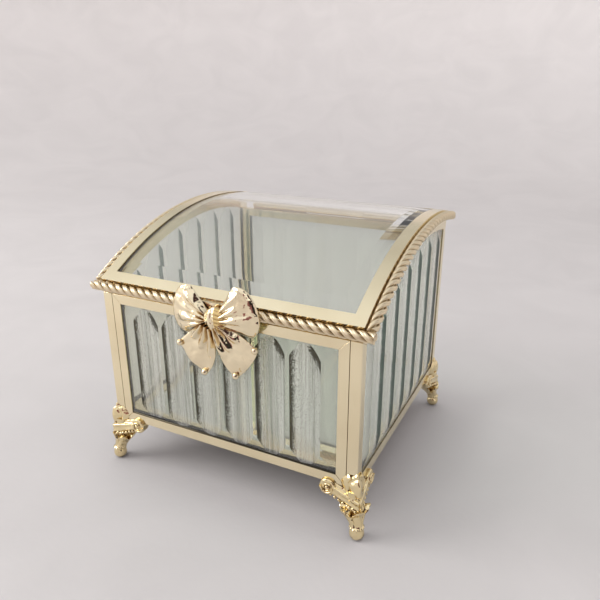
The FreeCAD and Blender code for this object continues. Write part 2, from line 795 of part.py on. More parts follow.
def barrel(x0, x1, leaf):
    """Returns a hinge barrel between two X, with its leaf and its bore for the pin."""
    axis = Vector(1, 0, 0)
    tube = Part.makeCylinder(barrel_diameter / 2, x1 - x0, Vector(x0, hinge_y, hinge_z), axis)
    bore = Part.makeCylinder(pin_diameter / 2 + pin_clearance, x1 - x0, Vector(x0, hinge_y, hinge_z), axis)
    return tube.fuse(leaf).cut(bore)


def hinge():
    """Returns the three barrels and the pin of the tube hinge."""
    half = half_width - hinge_inset
    middle = half / 3
    inner = middle + knuckle_gap
    case_leaf = Part.makeBox(half - inner, leaf_thickness, hinge_z - back_panel_top + leaf_height,
                             Vector(inner, half_depth, back_panel_top - leaf_height))
    right = barrel(inner, half, case_leaf)
    web = lid_point(-middle, lid_low, back_angle)
    out = backward(back_angle) * leaf_thickness
    down = radial(back_angle) * (web - Vector(-middle, hinge_y, hinge_z)).dot(radial(back_angle))
    up = radial(back_angle) * leaf_height
    lid_leaf = polygon_face([web - down, web - down + out, web + up + out, web + up])
    lid_leaf = lid_leaf.extrude(Vector(2 * middle, 0, 0))
    pin = Part.makeCylinder(pin_diameter / 2, 2 * (half + pin_end),
                            Vector(-half - pin_end, hinge_y, hinge_z), Vector(1, 0, 0))
    return {
        "hinge_barrel_right": right,
        "hinge_barrel_left": right.mirror(Vector(0, 0, 0), Vector(1, 0, 0)),
        "hinge_barrel_middle": barrel(-middle, middle, lid_leaf),
        "hinge_pin": pin,
    }


def lid():
    """Returns the lid's glass, rails, ropes and bow."""
    origin = Vector(0, 0, 0)
    left = Vector(1, 0, 0)
    right_rail = lid_side_rail()
    left_rope, right_rope = front_ropes()
    return {
        "lid_glass": lid_glass(),
        "lid_front_rail": lid_cross_rail(-front_angle, front_skirt),
        "lid_back_rail": lid_cross_rail(back_angle, 0),
        "lid_right_rail": right_rail,
        "lid_left_rail": right_rail.mirror(origin, left),
        "lid_rope_front": left_rope,
        "lid_rope_front_right": right_rope,
        "lid_rope_right": side_rope(1),
        "lid_rope_left": side_rope(-1),
        "bow": bow(),
    }


def main():
    """Makes every piece, moves the origin to the bottom centre of the whole and writes the files."""
    nodes = {}
    for group in (case_panels(), floor(), feet(), lid(), hinge()):
        nodes.update(group)
    whole = FreeCAD.BoundBox()
    for shape in nodes.values():
        whole.add(shape.optimalBoundingBox(False, False))
    shift = Vector(-whole.Center.x, -whole.Center.y, -whole.ZMin)
    os.makedirs("parts", exist_ok=True)
    for name, shape in nodes.items():
        shape.translate(shift)
        shape.exportStep("parts/" + name + ".step")
    print("shift", round(shift.x, 4), round(shift.y, 4), round(shift.z, 4))
    print("size", round(whole.XLength, 2), round(whole.YLength, 2), round(whole.ZLength, 2))
    print("hinge y", round(hinge_y + shift.y, 4), "z", round(hinge_z + shift.z, 4))
    print("back panel top", round(back_panel_top, 3), "arch centre", round(centre_y, 3), round(centre_z, 3))
    for name, shape in nodes.items():
        print(name, shape.ShapeType, len(shape.Solids), shape.isValid(), round(shape.Volume, 2))


main()
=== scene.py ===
"""Looks of a glass jewelry box: polished channel, cut glass, a rope edge, a cast bow and cast feet.

Pieces are modelled in millimetres in the frame's own place and scaled to metres when they become objects.
"""

import logging
import math
from collections.abc import Callable, Iterable
from dataclasses import dataclass, field, replace
from enum import Enum
from functools import cache

import bmesh
import bpy
from bmesh.types import BMesh, BMEdge, BMFace, BMVert
from mathutils import Matrix, Vector


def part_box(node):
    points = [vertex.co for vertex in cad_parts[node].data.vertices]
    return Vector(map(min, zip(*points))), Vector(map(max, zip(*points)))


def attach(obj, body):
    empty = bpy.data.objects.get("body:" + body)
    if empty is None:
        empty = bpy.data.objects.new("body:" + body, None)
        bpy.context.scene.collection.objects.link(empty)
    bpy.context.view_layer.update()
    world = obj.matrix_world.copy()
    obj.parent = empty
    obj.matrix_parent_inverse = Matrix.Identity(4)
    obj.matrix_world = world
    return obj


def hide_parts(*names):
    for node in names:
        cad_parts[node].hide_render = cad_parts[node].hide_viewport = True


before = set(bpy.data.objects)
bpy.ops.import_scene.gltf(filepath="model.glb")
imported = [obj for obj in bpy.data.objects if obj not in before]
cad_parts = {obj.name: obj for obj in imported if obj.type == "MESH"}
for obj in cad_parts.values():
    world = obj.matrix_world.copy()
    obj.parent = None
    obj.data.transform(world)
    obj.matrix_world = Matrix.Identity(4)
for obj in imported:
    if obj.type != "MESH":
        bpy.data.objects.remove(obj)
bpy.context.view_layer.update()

MM = 0.001
WELD = 1e-3
log = logging.getLogger("jewelry_box")

Colour = tuple[float, float, float]
Place = tuple[float, float, float]
Socket = bpy.types.NodeSocket


class Run(Enum):
    """The direction in which a length of channel was drawn and polished."""

    ACROSS = "across"
    DEEP = "deep"
    UPRIGHT = "upright"


class Body(Enum):
    """The bodies of the frame."""

    CASE = "case"
    LID = "lid"


class Slot(Enum):
    """The record's material slots."""

    GLASS = "clear_glass"
    CHANNEL = "brass_channel"
    ROPE = "rope_wire"
    BOW = "cast_bow"
    FEET = "cast_feet"
    HINGE = "hinge_tube"


# Node trees

class NodeTree:
    """A short way to add nodes to a tree and join them."""

    def __init__(self, tree: bpy.types.NodeTree) -> None:
        """Takes the tree and empties it."""
        self.tree = tree
        tree.nodes.clear()

    def add(self, kind: str, inputs: dict | None = None, **settings: object) -> bpy.types.Node:
        """Adds a node.

        Args:
            kind: The node's type.
            inputs: Values for its sockets, or the sockets that feed them.
            settings: The node's own properties.

        Returns:
            The new node.
        """
        node = self.tree.nodes.new(kind)
        for name, value in settings.items():
            setattr(node, name, value)
        for socket, value in (inputs or {}).items():
            if isinstance(value, Socket):
                self.tree.links.new(value, node.inputs[socket])
            else:
                node.inputs[socket].default_value = value
        return node

    def math(self, operation: str, *values: object) -> Socket:
        """Adds a Math node and returns its output."""
        return self.add("ShaderNodeMath", dict(enumerate(values)), operation=operation).outputs[0]

    def mix(self, factor: object, first: object, second: object) -> Socket:
        """Adds a colour mix and returns its output."""
        return self.add("ShaderNodeMix", {0: factor, 6: first, 7: second}, data_type="RGBA").outputs[2]

    def remap(self, value: object, low: object, high: object, to_low: float = 0.0,
              to_high: float = 1.0) -> Socket:
        """Adds a Map Range node and returns its output."""
        return self.add("ShaderNodeMapRange", {0: value, 1: low, 2: high, 3: to_low, 4: to_high}).outputs[0]

    def place(self) -> Socket:
        """Adds the object's own coordinates and returns them."""
        return self.add("ShaderNodeTexCoord").outputs["Object"]

    def axis(self, vector: Socket, axis: str) -> Socket:
        """Returns one axis of a vector."""
        return self.add("ShaderNodeSeparateXYZ", {0: vector}).outputs[axis]

    def stretch(self, vector: Socket, scale: object) -> Socket:
        """Multiplies a vector axis by axis and returns it."""
        return self.add("ShaderNodeVectorMath", {0: vector, 1: scale}, operation="MULTIPLY").outputs[0]

    def noise(self, place: Socket, scale: object, detail: float, **more: float) -> Socket:
        """Adds a noise texture and returns its value."""
        inputs = {"Vector": place, "Scale": scale, "Detail": detail, **more}
        return self.add("ShaderNodeTexNoise", inputs).outputs["Fac"]

    def bump(self, height: Socket, strength: float, distance: float, **more: Socket) -> Socket:
        """Adds a Bump node, with its distance in millimetres, and returns its normal."""
        inputs = {"Height": height, "Strength": strength, "Distance": distance * MM, **more}
        return self.add("ShaderNodeBump", inputs).outputs["Normal"]

    def finish(self, shader: bpy.types.Node) -> bpy.types.Node:
        """Joins a shader to a new material output and returns the output."""
        return self.add("ShaderNodeOutputMaterial", {"Surface": shader.outputs[0]})


def new_group(name: str, inputs: dict[str, float | Place], outputs: Iterable[str]) -> NodeTree:
    """Starts a shader node group.

    Args:
        name: The group's name.
        inputs: The value of each input, a number or a vector.
        outputs: The names of the outputs, which are numbers.

    Returns:
        The group's empty tree.
    """
    group = bpy.data.node_groups.new(name, "ShaderNodeTree")
    for socket, value in inputs.items():
        kind = "NodeSocketFloat" if isinstance(value, float) else "NodeSocketVector"
        made = group.interface.new_socket(socket, in_out="INPUT", socket_type=kind)
        made.default_value = value
    for socket in outputs:
        group.interface.new_socket(socket, in_out="OUTPUT", socket_type="NodeSocketFloat")
    return NodeTree(group)


@cache
def polish_marks_group() -> bpy.types.NodeTree:
    """Makes the fine marks that drawing and polishing leave, with a slow change of tone.

    Returns:
        A group with the outputs Marks, Tone and Height, each from 0 to 1.
    """
    nodes = new_group("polish_marks", {"Strokes": (300.0, 300.0, 300.0), "Cloud": 60.0},
                      ("Marks", "Tone", "Height"))
    given = nodes.add("NodeGroupInput").outputs
    place = nodes.place()
    strokes = nodes.noise(nodes.stretch(place, given["Strokes"]), 1.0, 5.0, Roughness=0.65)
    tone = nodes.remap(nodes.noise(place, given["Cloud"], 3.0), 0.3, 0.7)
    marks = nodes.remap(strokes, 0.25, 0.75)
    height = nodes.math("MULTIPLY", marks, nodes.remap(tone, 0.0, 1.0, 0.5, 1.0))
    nodes.add("NodeGroupOutput", {"Marks": marks, "Tone": tone, "Height": height})
    return nodes.tree


@cache
def grinding_streaks_group() -> bpy.types.NodeTree:
    """Makes the upright streaks and pits that a grinding wheel leaves in glass.

    Returns:
        A group with the outputs Streaks, Pits and Height, each from 0 to 1.
    """
    nodes = new_group("grinding_streaks", {"Across": 800.0, "Along": 12.0, "Pit Scale": 2600.0},
                      ("Streaks", "Pits", "Height"))
    given = nodes.add("NodeGroupInput").outputs
    place = nodes.place()
    scale = nodes.add("ShaderNodeCombineXYZ", {0: given["Across"], 1: given["Across"], 2: given["Along"]})
    lines = nodes.noise(nodes.stretch(place, scale.outputs[0]), 1.0, 4.0, Roughness=0.7)
    streaks = nodes.remap(lines, 0.34, 0.6)
    pits = nodes.remap(nodes.noise(place, given["Pit Scale"], 2.0), 0.45, 0.7)
    height = nodes.math("ADD", nodes.math("MULTIPLY", streaks, 0.8), nodes.math("MULTIPLY", pits, 0.2))
    nodes.add("NodeGroupOutput", {"Streaks": streaks, "Pits": pits, "Height": height})
    return nodes.tree


@cache
def flute_shade_group() -> bpy.types.NodeTree:
    """Paints a dark, speckled line of shade along one side of a flute and round its pointed top.

    Returns:
        A group with the output Shade, from 0 to 1. Its inputs are lengths in millimetres, but for Line Side,
        which is 1 or -1, and Crown, which is a share.
    """
    nodes = new_group("flute_shade", {"Across": 0.0, "Rise": 0.0, "Pitch": 13.0, "Half Width": 5.6,
                                      "Point": 5.0, "Line": 3.0, "Line Side": 1.0, "Crown": 1.0,
                                      "Solid": 0.0}, ("Shade",))
    given = nodes.add("NodeGroupInput").outputs
    lane = nodes.math("WRAP", given["Across"], nodes.math("MULTIPLY", given["Pitch"], 0.5),
                      nodes.math("MULTIPLY", given["Pitch"], -0.5))
    share = nodes.math("DIVIDE", lane, given["Half Width"])
    arch = nodes.math("SUBTRACT", 1.0, nodes.math("MULTIPLY", share, share))
    below_tip = nodes.math("SUBTRACT", nodes.math("MULTIPLY", arch, given["Point"]), given["Rise"])
    from_edge = nodes.math("MULTIPLY_ADD", lane, given["Line Side"], given["Half Width"])
    near_edge = nodes.remap(from_edge, given["Solid"], given["Line"], 1.0, 0.0)
    near_tip = nodes.remap(below_tip, 0.0, nodes.math("MULTIPLY", given["Line"], 2.0), 1.0, 0.0)
    right_half = nodes.remap(share, 0.0, 0.45)
    # Painted shade over the right half of the pointed top.
    crown = nodes.math("MULTIPLY", nodes.math("MULTIPLY", near_tip, right_half), given["Crown"])
    place = nodes.place()
    speckle = nodes.noise(place, 2000.0, 3.0, Roughness=0.7)
    shade_patches = nodes.remap(nodes.noise(place, 160.0, 2.0), 0.35, 0.6, 0.75, 1.0)
    whole = nodes.math("MAXIMUM", nodes.math("MULTIPLY", near_edge, shade_patches), crown)
    crowded = nodes.math("MULTIPLY_ADD", whole, 0.5, speckle)
    nodes.add("NodeGroupOutput", {"Shade": nodes.remap(crowded, 0.70, 0.80)})
    return nodes.tree


def new_material(name: str) -> tuple[bpy.types.Material, NodeTree]:
    """Starts a node material and returns it with its empty tree."""
    material = bpy.data.materials.new(name)
    material.use_nodes = True
    return material, NodeTree(material.node_tree)


def polish_marks(nodes: NodeTree, cloud: float, strokes: Place = (300.0, 300.0, 300.0)) -> dict[str, Socket]:
    """Places the polish marks in a material.

    Args:
        nodes: The material's tree.
        cloud: The scale of the slow change of tone.
        strokes: The scale of the strokes along each axis.

    Returns:
        The group's outputs by name.
    """
    group = nodes.add("ShaderNodeGroup", {"Strokes": strokes, "Cloud": cloud}, node_tree=polish_marks_group())
    return dict(group.outputs.items())


# Finishes

@dataclass(frozen=True)
class Brass:
    """Polished metal with fine strokes, a slow change of tone and painted shade in its recesses."""

    name: str
    colour: Colour
    shade: Colour
    roughness: float
    stroke_scale: Place = (300.0, 300.0, 300.0)
    cloud_scale: float = 60.0
    tone_share: float = 0.16
    stroke_roughness: float = 0.08
    stroke_height: float = 0.004
    recess_shade: float = 0.0
    recess_shade_reach: float = 1.2
    dent_scale: float = 300.0
    dent_height: float = 0.0

    @cache
    def material(self) -> bpy.types.Material:
        """Builds the material once and returns it."""
        material, nodes = new_material(self.name)
        shade = (*self.shade, 1.0)
        polish = polish_marks(nodes, self.cloud_scale, self.stroke_scale)
        tone = nodes.remap(polish["Tone"], 0.0, 1.0, 0.0, self.tone_share)
        colour = nodes.mix(tone, (*self.colour, 1.0), shade)
        # Painted shade: an ambient-occlusion mask darkens the colour towards the shade colour in recesses,
        # seams and gaps.
        if self.recess_shade > 0:
            reach = self.recess_shade_reach * MM
            open_sky = nodes.add("ShaderNodeAmbientOcclusion", {"Distance": reach}, samples=6)
            depth = nodes.remap(open_sky.outputs["AO"], 0.25, 0.85, self.recess_shade, 0.0)
            colour = nodes.mix(depth, colour, shade)
        rough = nodes.remap(polish["Marks"], 0.0, 1.0, self.roughness, self.roughness + self.stroke_roughness)
        normal = nodes.bump(polish["Height"], 0.35, self.stroke_height)
        if self.dent_height > 0:
            dents = nodes.noise(nodes.place(), self.dent_scale, 1.5)
            normal = nodes.bump(dents, 1.0, self.dent_height, Normal=normal)
        nodes.finish(nodes.add("ShaderNodeBsdfPrincipled", {"Base Color": colour, "Metallic": 1.0,
                                                            "Roughness": rough, "Normal": normal}))
        return material


@dataclass(frozen=True)
class Glass:
    """Polished soda glass, with a green tint through its depth."""

    name: str = "polished_glass"
    roughness: float = 0.0
    colour: Colour = (0.985, 0.995, 0.99)
    tint: Colour = (0.62, 0.84, 0.72)
    through: Colour = (0.92, 0.95, 0.93)
    density: float = 6.0
    haze: float = 0.0
    smear: float = 0.02
    smear_scale: float = 45.0
    rail_top: float = 0.0
    foot_shadow_line: float = 0.95
    foot_shadow_colour: Colour = (0.002, 0.002, 0.001)

    def foot_shadow(self, nodes: NodeTree, colour: object) -> object:
        """Darkens a colour in an uneven line above the bottom rail, as painted shade where the lower bevel
        mirrors the table.

        Args:
            nodes: The material's tree.
            colour: The colour, or the socket that gives it.

        Returns:
            The colour as it was, where no rail is given, or the socket with the darker one.
        """
        if self.rail_top == 0:
            return colour
        place = nodes.place()
        rise = nodes.math("MULTIPLY_ADD", nodes.axis(place, "Z"), 1 / MM, -self.rail_top)
        high = nodes.math("MULTIPLY", nodes.noise(place, 110.0, 1.0), 2 * self.foot_shadow_line)
        # Painted shade: the mirrored dark of the table, in an uneven line.
        dark = nodes.remap(nodes.math("SUBTRACT", rise, high), -0.25, 0.0, 1.0, 0.0)
        return nodes.mix(dark, colour, (*self.foot_shadow_colour, 1.0))

    def shader(self, nodes: NodeTree, colour: object, rough: Socket, **more: Socket) -> bpy.types.Node:
        """Adds a glass shader with a colour and a roughness, and returns it."""
        inputs = {"Base Color": colour, "Roughness": rough, "Metallic": 0.0, "IOR": 1.5,
                  "Transmission Weight": 1.0 - self.haze, **more}
        return nodes.add("ShaderNodeBsdfPrincipled", inputs)

    def surface(self, nodes: NodeTree) -> bpy.types.Node:
        """Adds the polished surface and returns its shader."""
        polish = polish_marks(nodes, self.smear_scale)
        smears = nodes.remap(polish["Tone"], 0.0, 1.0, self.roughness, self.roughness + self.smear)
        return self.shader(nodes, self.foot_shadow(nodes, (*self.colour, 1.0)), smears)

    @cache
    def material(self) -> bpy.types.Material:
        """Builds the material once, so that light passes to what lies behind it, and returns it."""
        material, nodes = new_material(self.name)
        body = self.surface(nodes)
        clear = nodes.add("ShaderNodeBsdfTransparent", {"Color": (*self.through, 1.0)})
        path = nodes.add("ShaderNodeLightPath").outputs
        passing = nodes.math("MAXIMUM", path["Is Shadow Ray"], path["Is Diffuse Ray"])
        mixed = nodes.add("ShaderNodeMixShader", {0: passing, 1: body.outputs[0], 2: clear.outputs[0]})
        output = nodes.finish(mixed)
        if self.density > 0:
            tint = {"Color": (*self.tint, 1.0), "Density": self.density}
            depth = nodes.add("ShaderNodeVolumeAbsorption", tint)
            nodes.tree.links.new(depth.outputs[0], output.inputs["Volume"])
        return material


@dataclass(frozen=True)
class GroundFlute(Glass):
    """The ground hollows of one wall: streaked and frosted, with a painted dark line of shade along one side.
    """

    roughness: float = 0.08
    density: float = 0.0
    axis: str = "X"
    middle: float = 0.0
    line_height: float = 60.0
    pitch: float = 13.0
    half_width: float = 5.6
    streak_roughness: float = 0.14
    streak_height: float = 0.04
    haze: float = 0.30
    dull: Colour = (0.50, 0.51, 0.45)
    bright: Colour = (1.0, 1.0, 0.94)
    shade: Colour = (0.014, 0.011, 0.004)
    line: float = 3.0
    line_side: float = 1.0
    crown: float = 1.0
    solid: float = 0.0
    specks: float = 0.55

    def surface(self, nodes: NodeTree) -> bpy.types.Node:
        """Adds the ground surface and returns its shader."""
        shade = (*self.shade, 1.0)
        streaks = nodes.add("ShaderNodeGroup", node_tree=grinding_streaks_group()).outputs
        place = nodes.place()
        across = nodes.math("MULTIPLY_ADD", nodes.axis(place, self.axis), 1 / MM,
                            self.pitch / 2 - self.middle)
        rise = nodes.math("MULTIPLY_ADD", nodes.axis(place, "Z"), 1 / MM, -self.line_height)
        edges = nodes.add("ShaderNodeGroup", {"Across": across, "Rise": rise, "Pitch": self.pitch,
                                              "Half Width": self.half_width, "Line": self.line,
                                              "Line Side": self.line_side, "Crown": self.crown,
                                              "Solid": self.solid}, node_tree=flute_shade_group())
        frost = nodes.mix(streaks["Streaks"], (*self.dull, 1.0), (*self.bright, 1.0))
        grain = nodes.mix(nodes.math("MULTIPLY", streaks["Pits"], self.specks), frost, shade)
        # Painted shade: the flute's dark line and top darken the grain here.
        colour = self.foot_shadow(nodes, nodes.mix(edges.outputs["Shade"], grain, shade))
        rough = nodes.remap(streaks["Streaks"], 0.0, 1.0, self.roughness,
                            self.roughness + self.streak_roughness)
        normal = nodes.bump(streaks["Height"], 0.6, self.streak_height)
        return self.shader(nodes, colour, rough, Normal=normal)


@dataclass(frozen=True)
class SilveredGlass:
    """The mirror floor: silver behind glass, with faint smears."""

    name: str = "silvered_mirror"
    colour: Colour = (0.80, 0.84, 0.82)
    smear: Colour = (0.72, 0.75, 0.74)
    smear_scale: float = 28.0
    wipe_scale: Place = (90.0, 240.0, 90.0)
    wipe_roughness: float = 0.035

    def material(self) -> bpy.types.Material:
        """Builds the material and returns it."""
        material, nodes = new_material(self.name)
        polish = polish_marks(nodes, self.smear_scale, self.wipe_scale)
        colour = nodes.mix(polish["Tone"], (*self.colour, 1.0), (*self.smear, 1.0))
        rough = nodes.remap(polish["Marks"], 0.0, 1.0, 0.0, self.wipe_roughness)
        nodes.finish(nodes.add("ShaderNodeBsdfPrincipled", {"Base Color": colour, "Metallic": 1.0,
                                                            "Roughness": rough}))
        return material


@dataclass(frozen=True)
class FrameFinish:
    """A plain finish that comes with the frame."""

    name: str

    def material(self) -> bpy.types.Material:
        """Returns the frame's own material."""
        return bpy.data.materials[self.name]


Finish = Brass | Glass | SilveredGlass | FrameFinish

BRASS_COLOUR = (0.93, 0.82, 0.57)
BRASS_SHADE = (0.50, 0.34, 0.14)
STROKE_ALONG = 40.0
STROKE_ACROSS = 900.0
RUN_STROKES = {
    Run.ACROSS: (STROKE_ALONG, STROKE_ACROSS, STROKE_ACROSS),
    Run.DEEP: (STROKE_ACROSS, STROKE_ALONG, STROKE_ACROSS),
    Run.UPRIGHT: (STROKE_ACROSS, STROKE_ACROSS, STROKE_ALONG),
}


def channel_brass(run: Run) -> Brass:
    """Returns the finish of a channel that was drawn in a direction."""
    return Brass("channel_" + run.value, BRASS_COLOUR, BRASS_SHADE, roughness=0.13,
                 stroke_scale=RUN_STROKES[run], recess_shade=0.9, recess_shade_reach=0.6)


ROPE_WIRE = FrameFinish("rope_wire")
BOW_GOLD = Brass("bow_gold", (0.95, 0.83, 0.59), (0.36, 0.20, 0.07), roughness=0.05, cloud_scale=120.0,
                 stroke_roughness=0.06, stroke_height=0.03, recess_shade=0.85, recess_shade_reach=1.6,
                 dent_scale=300.0, dent_height=0.8)
FOOT_GOLD = Brass("foot_gold", (0.93, 0.78, 0.47), (0.34, 0.21, 0.06), roughness=0.08, cloud_scale=160.0,
                  stroke_height=0.03, recess_shade=0.85, recess_shade_reach=1.4, dent_scale=500.0, dent_height=0.6)
# The knot's darker gold is painted shade on its right side.
KNOT_SHADE_GOLD = Brass("knot_gold", (0.76, 0.55, 0.25), (0.12, 0.06, 0.015), roughness=0.08, recess_shade=0.95,
                  recess_shade_reach=1.0)
HINGE_BRASS = Brass("hinge_brass", BRASS_COLOUR, BRASS_SHADE, roughness=0.15,
                    stroke_scale=RUN_STROKES[Run.ACROSS], recess_shade=0.5)
CLEAR_GLASS = Glass()
WALL_GLASS = Glass("wall_glass", colour=(0.84, 0.845, 0.765), density=0.0, haze=0.09)
BACK_GLASS = Glass("back_wall_glass", roughness=0.2, colour=(0.86, 0.865, 0.81), density=0.0, haze=0.3)
FRONT_GROUND = GroundFlute("ground_front_glass")
# The right wall's frost is painted darker than the left wall's: painted shade for the wall turned away from
# the key light.
RIGHT_GROUND = GroundFlute("ground_right_glass", axis="Y", dull=(0.76, 0.84, 0.77), specks=0.0,
                           shade=(0.005, 0.022, 0.012), line=4.2, solid=2.0, line_side=-1.0, crown=0.0)
LEFT_GROUND = replace(RIGHT_GROUND, name="ground_left_glass", dull=(0.92, 0.94, 0.90), line=3.4, solid=2.2)
MIRROR = SilveredGlass()


# Making pieces

FLAT_ANGLE = 0.3


def box_mm(node: str) -> tuple[Vector, Vector]:
    """Returns the lowest and highest corners of a CAD node, in millimetres."""
    low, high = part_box(node)
    return low / MM, high / MM


def cad_copy(node: str) -> BMesh:
    """Returns a merged copy of a CAD node's mesh, in millimetres."""
    bm = bmesh.new()
    bm.from_mesh(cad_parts[node].data)
    bmesh.ops.scale(bm, vec=(1 / MM,) * 3, verts=bm.verts)
    bmesh.ops.remove_doubles(bm, verts=bm.verts, dist=2 * WELD)
    bm.normal_update()
    return bm


def new_mesh(name: str, bm: BMesh) -> bpy.types.Mesh:
    """Turns a bmesh into a mesh, frees it and returns the mesh."""
    mesh = bpy.data.meshes.new(name)
    bm.to_mesh(mesh)
    bm.free()
    return mesh


def new_object(name: str, data: bpy.types.ID) -> bpy.types.Object:
    """Adds an object to the scene and returns it."""
    made = bpy.data.objects.new(name, data)
    bpy.context.scene.collection.objects.link(made)
    return made


def smooth(bm: BMesh) -> None:
    """Shades every face smoothly."""
    for face in bm.faces:
        face.smooth = True


def outer_edges(bm: BMesh, angle: float) -> list[BMEdge]:
    """Returns the outward edges that bend by more than an angle in degrees."""
    return [edge for edge in bm.edges
            if edge.is_manifold and edge.is_convex and edge.calc_face_angle() > math.radians(angle)]


def round_off(bm: BMesh, edges: list[BMEdge], radius: float, segments: int, clamp: bool = True) -> None:
    """Rounds edges off.

    Args:
        bm: The mesh.
        edges: The edges.
        radius: How far the rounding reaches from each edge.
        segments: The faces across it.
        clamp: Whether the rounding stops where it would meet another one.
    """
    bmesh.ops.bevel(bm, geom=edges, offset=radius, offset_type="OFFSET", affect="EDGES", segments=segments,
                    profile=0.5, material=-1, clamp_overlap=clamp)


def ring_edges(ring: Iterable[BMVert]) -> list[BMEdge]:
    """Returns the edges of a ring of points, in the same order each time."""
    return list(dict.fromkeys(edge for vert in ring for edge in vert.link_edges))


def extrude_ring(bm: BMesh, loop: list[BMEdge]) -> tuple[list[BMVert], list[BMEdge]]:
    """Draws a ring of edges out in place and returns the new points and edges."""
    made = bmesh.ops.extrude_edge_only(bm, edges=loop)["geom"]
    return only(made, BMVert), only(made, BMEdge)


def everything(bm: BMesh) -> list:
    """Returns all the points, edges and faces of a mesh."""
    return bm.verts[:] + bm.edges[:] + bm.faces[:]


def only(items: Iterable[object], kind: type) -> list:
    """Returns the items of one kind."""
    return [item for item in items if isinstance(item, kind)]


def add_bead(bm: BMesh, spot: Vector, radius: float, sides: int = 14, rings: int = 10) -> None:
    """Adds a ball."""
    bmesh.ops.create_uvsphere(bm, u_segments=sides, v_segments=rings, radius=radius,
                              matrix=Matrix.Translation(spot))


def clamp01(value: float) -> float:
    """Keeps a value between 0 and 1."""
    return min(max(value, 0), 1)


def hump(value: float, place: float, width: float) -> float:
    """Returns a smooth hump that is 1 at a place."""
    return math.exp(-((value - place) / width) ** 2)


def add_piece(name: str, bm: BMesh, finishes: Iterable[Finish], body: Body, slot: Slot,
              stands_for: Iterable[str], sharp: float = 35.0) -> bpy.types.Object:
    """Makes an object of a mesh in millimetres and gives it its finish and its place in the frame.

    Args:
        name: The piece's name.
        bm: The mesh, which is freed.
        finishes: The finishes, in the order of the faces' material numbers.
        body: The body that the piece moves with.
        slot: The record's slot that the piece takes its finish from; not used.
        stands_for: The CAD nodes that the piece replaces.
        sharp: The angle in degrees above which an edge stays sharp.

    Returns:
        The new object.
    """
    bmesh.ops.scale(bm, vec=(MM,) * 3, verts=bm.verts)
    smooth(bm)
    mesh = new_mesh(name, bm)
    if "custom_normal" in mesh.attributes:
        mesh.attributes.remove(mesh.attributes["custom_normal"])
    mesh.set_sharp_from_angle(angle=math.radians(sharp))
    for finish in finishes:
        mesh.materials.append(finish.material())
    piece = new_object(name, mesh)
    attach(piece, body.value)
    for node in stands_for:
        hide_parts(node)
    log.info("%s: %d faces on %s", name, len(mesh.polygons), body.value)
    return piece


def dress_node(node: str, finish: Finish) -> None:
    """Gives a CAD node that stays its finish."""
    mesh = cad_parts[node].data
    mesh.materials.clear()
    mesh.materials.append(finish.material())
    log.info("%s: carried over", node)


def weigh_normals(piece: bpy.types.Object) -> None:
    """Lets large flat faces keep their flat shading beside rounded edges."""
    piece.modifiers.new("flat_faces", "WEIGHTED_NORMAL").keep_sharp = True


def flatten(bm: BMesh) -> None:
    """Joins the facets of every flat face."""
    bmesh.ops.dissolve_limit(bm, angle_limit=math.radians(FLAT_ANGLE), verts=bm.verts, edges=bm.edges)


# Brass channel

@dataclass
class ChannelFrames:
    """Every length of folded channel: copies of the solids with rounded folds and eased edges."""

    fold_radius: float = 0.6
    fold_segments: int = 4
    edge_radius: float = 0.16
    edge_segments: int = 2
    wall_limit: float = 0.9
    bend: float = 50.0
    case_runs: dict[Run, list[str]] = field(default_factory=lambda: {
        Run.ACROSS: ["front_top_rail", "front_bottom_rail", "back_top_rail", "back_bottom_rail",
                     "floor_front_rail", "floor_back_rail"],
        Run.DEEP: ["left_arch_rail", "left_bottom_rail", "right_arch_rail", "right_bottom_rail",
                   "floor_left_rail", "floor_right_rail"],
        Run.UPRIGHT: ["front_left_stile", "front_right_stile", "back_left_stile", "back_right_stile",
                      "left_front_stile", "left_back_stile", "right_front_stile", "right_back_stile"],
    })
    lid_runs: dict[Run, list[str]] = field(default_factory=lambda: {
        Run.ACROSS: ["lid_front_rail", "lid_back_rail"],
        Run.DEEP: ["lid_left_rail", "lid_right_rail"],
    })

    def face_width(self, face: BMFace) -> float:
        """Returns a long face's width."""
        return face.calc_area() / max(edge.calc_length() for edge in face.edges)

    def is_fold(self, edge: BMEdge) -> bool:
        """Tells an outer fold from a lip or a mitre by the width of the faces beside it."""
        return all(self.face_width(face) > self.wall_limit for face in edge.link_faces)

    def round_edges(self, bm: BMesh) -> None:
        """Rounds the outer folds, then eases every other outer edge."""
        flatten(bm)
        folds = [edge for edge in outer_edges(bm, self.bend) if self.is_fold(edge)]
        round_off(bm, folds, self.fold_radius, self.fold_segments)
        round_off(bm, outer_edges(bm, self.bend), self.edge_radius, self.edge_segments)

    def build(self) -> None:
        """Builds every length of channel."""
        for body, runs in ((Body.CASE, self.case_runs), (Body.LID, self.lid_runs)):
            for run, nodes in runs.items():
                for node in nodes:
                    bm = cad_copy(node)
                    self.round_edges(bm)
                    piece = add_piece(node + "_folded", bm, [channel_brass(run)], body, Slot.CHANNEL, [node])
                    weigh_normals(piece)


# Glass

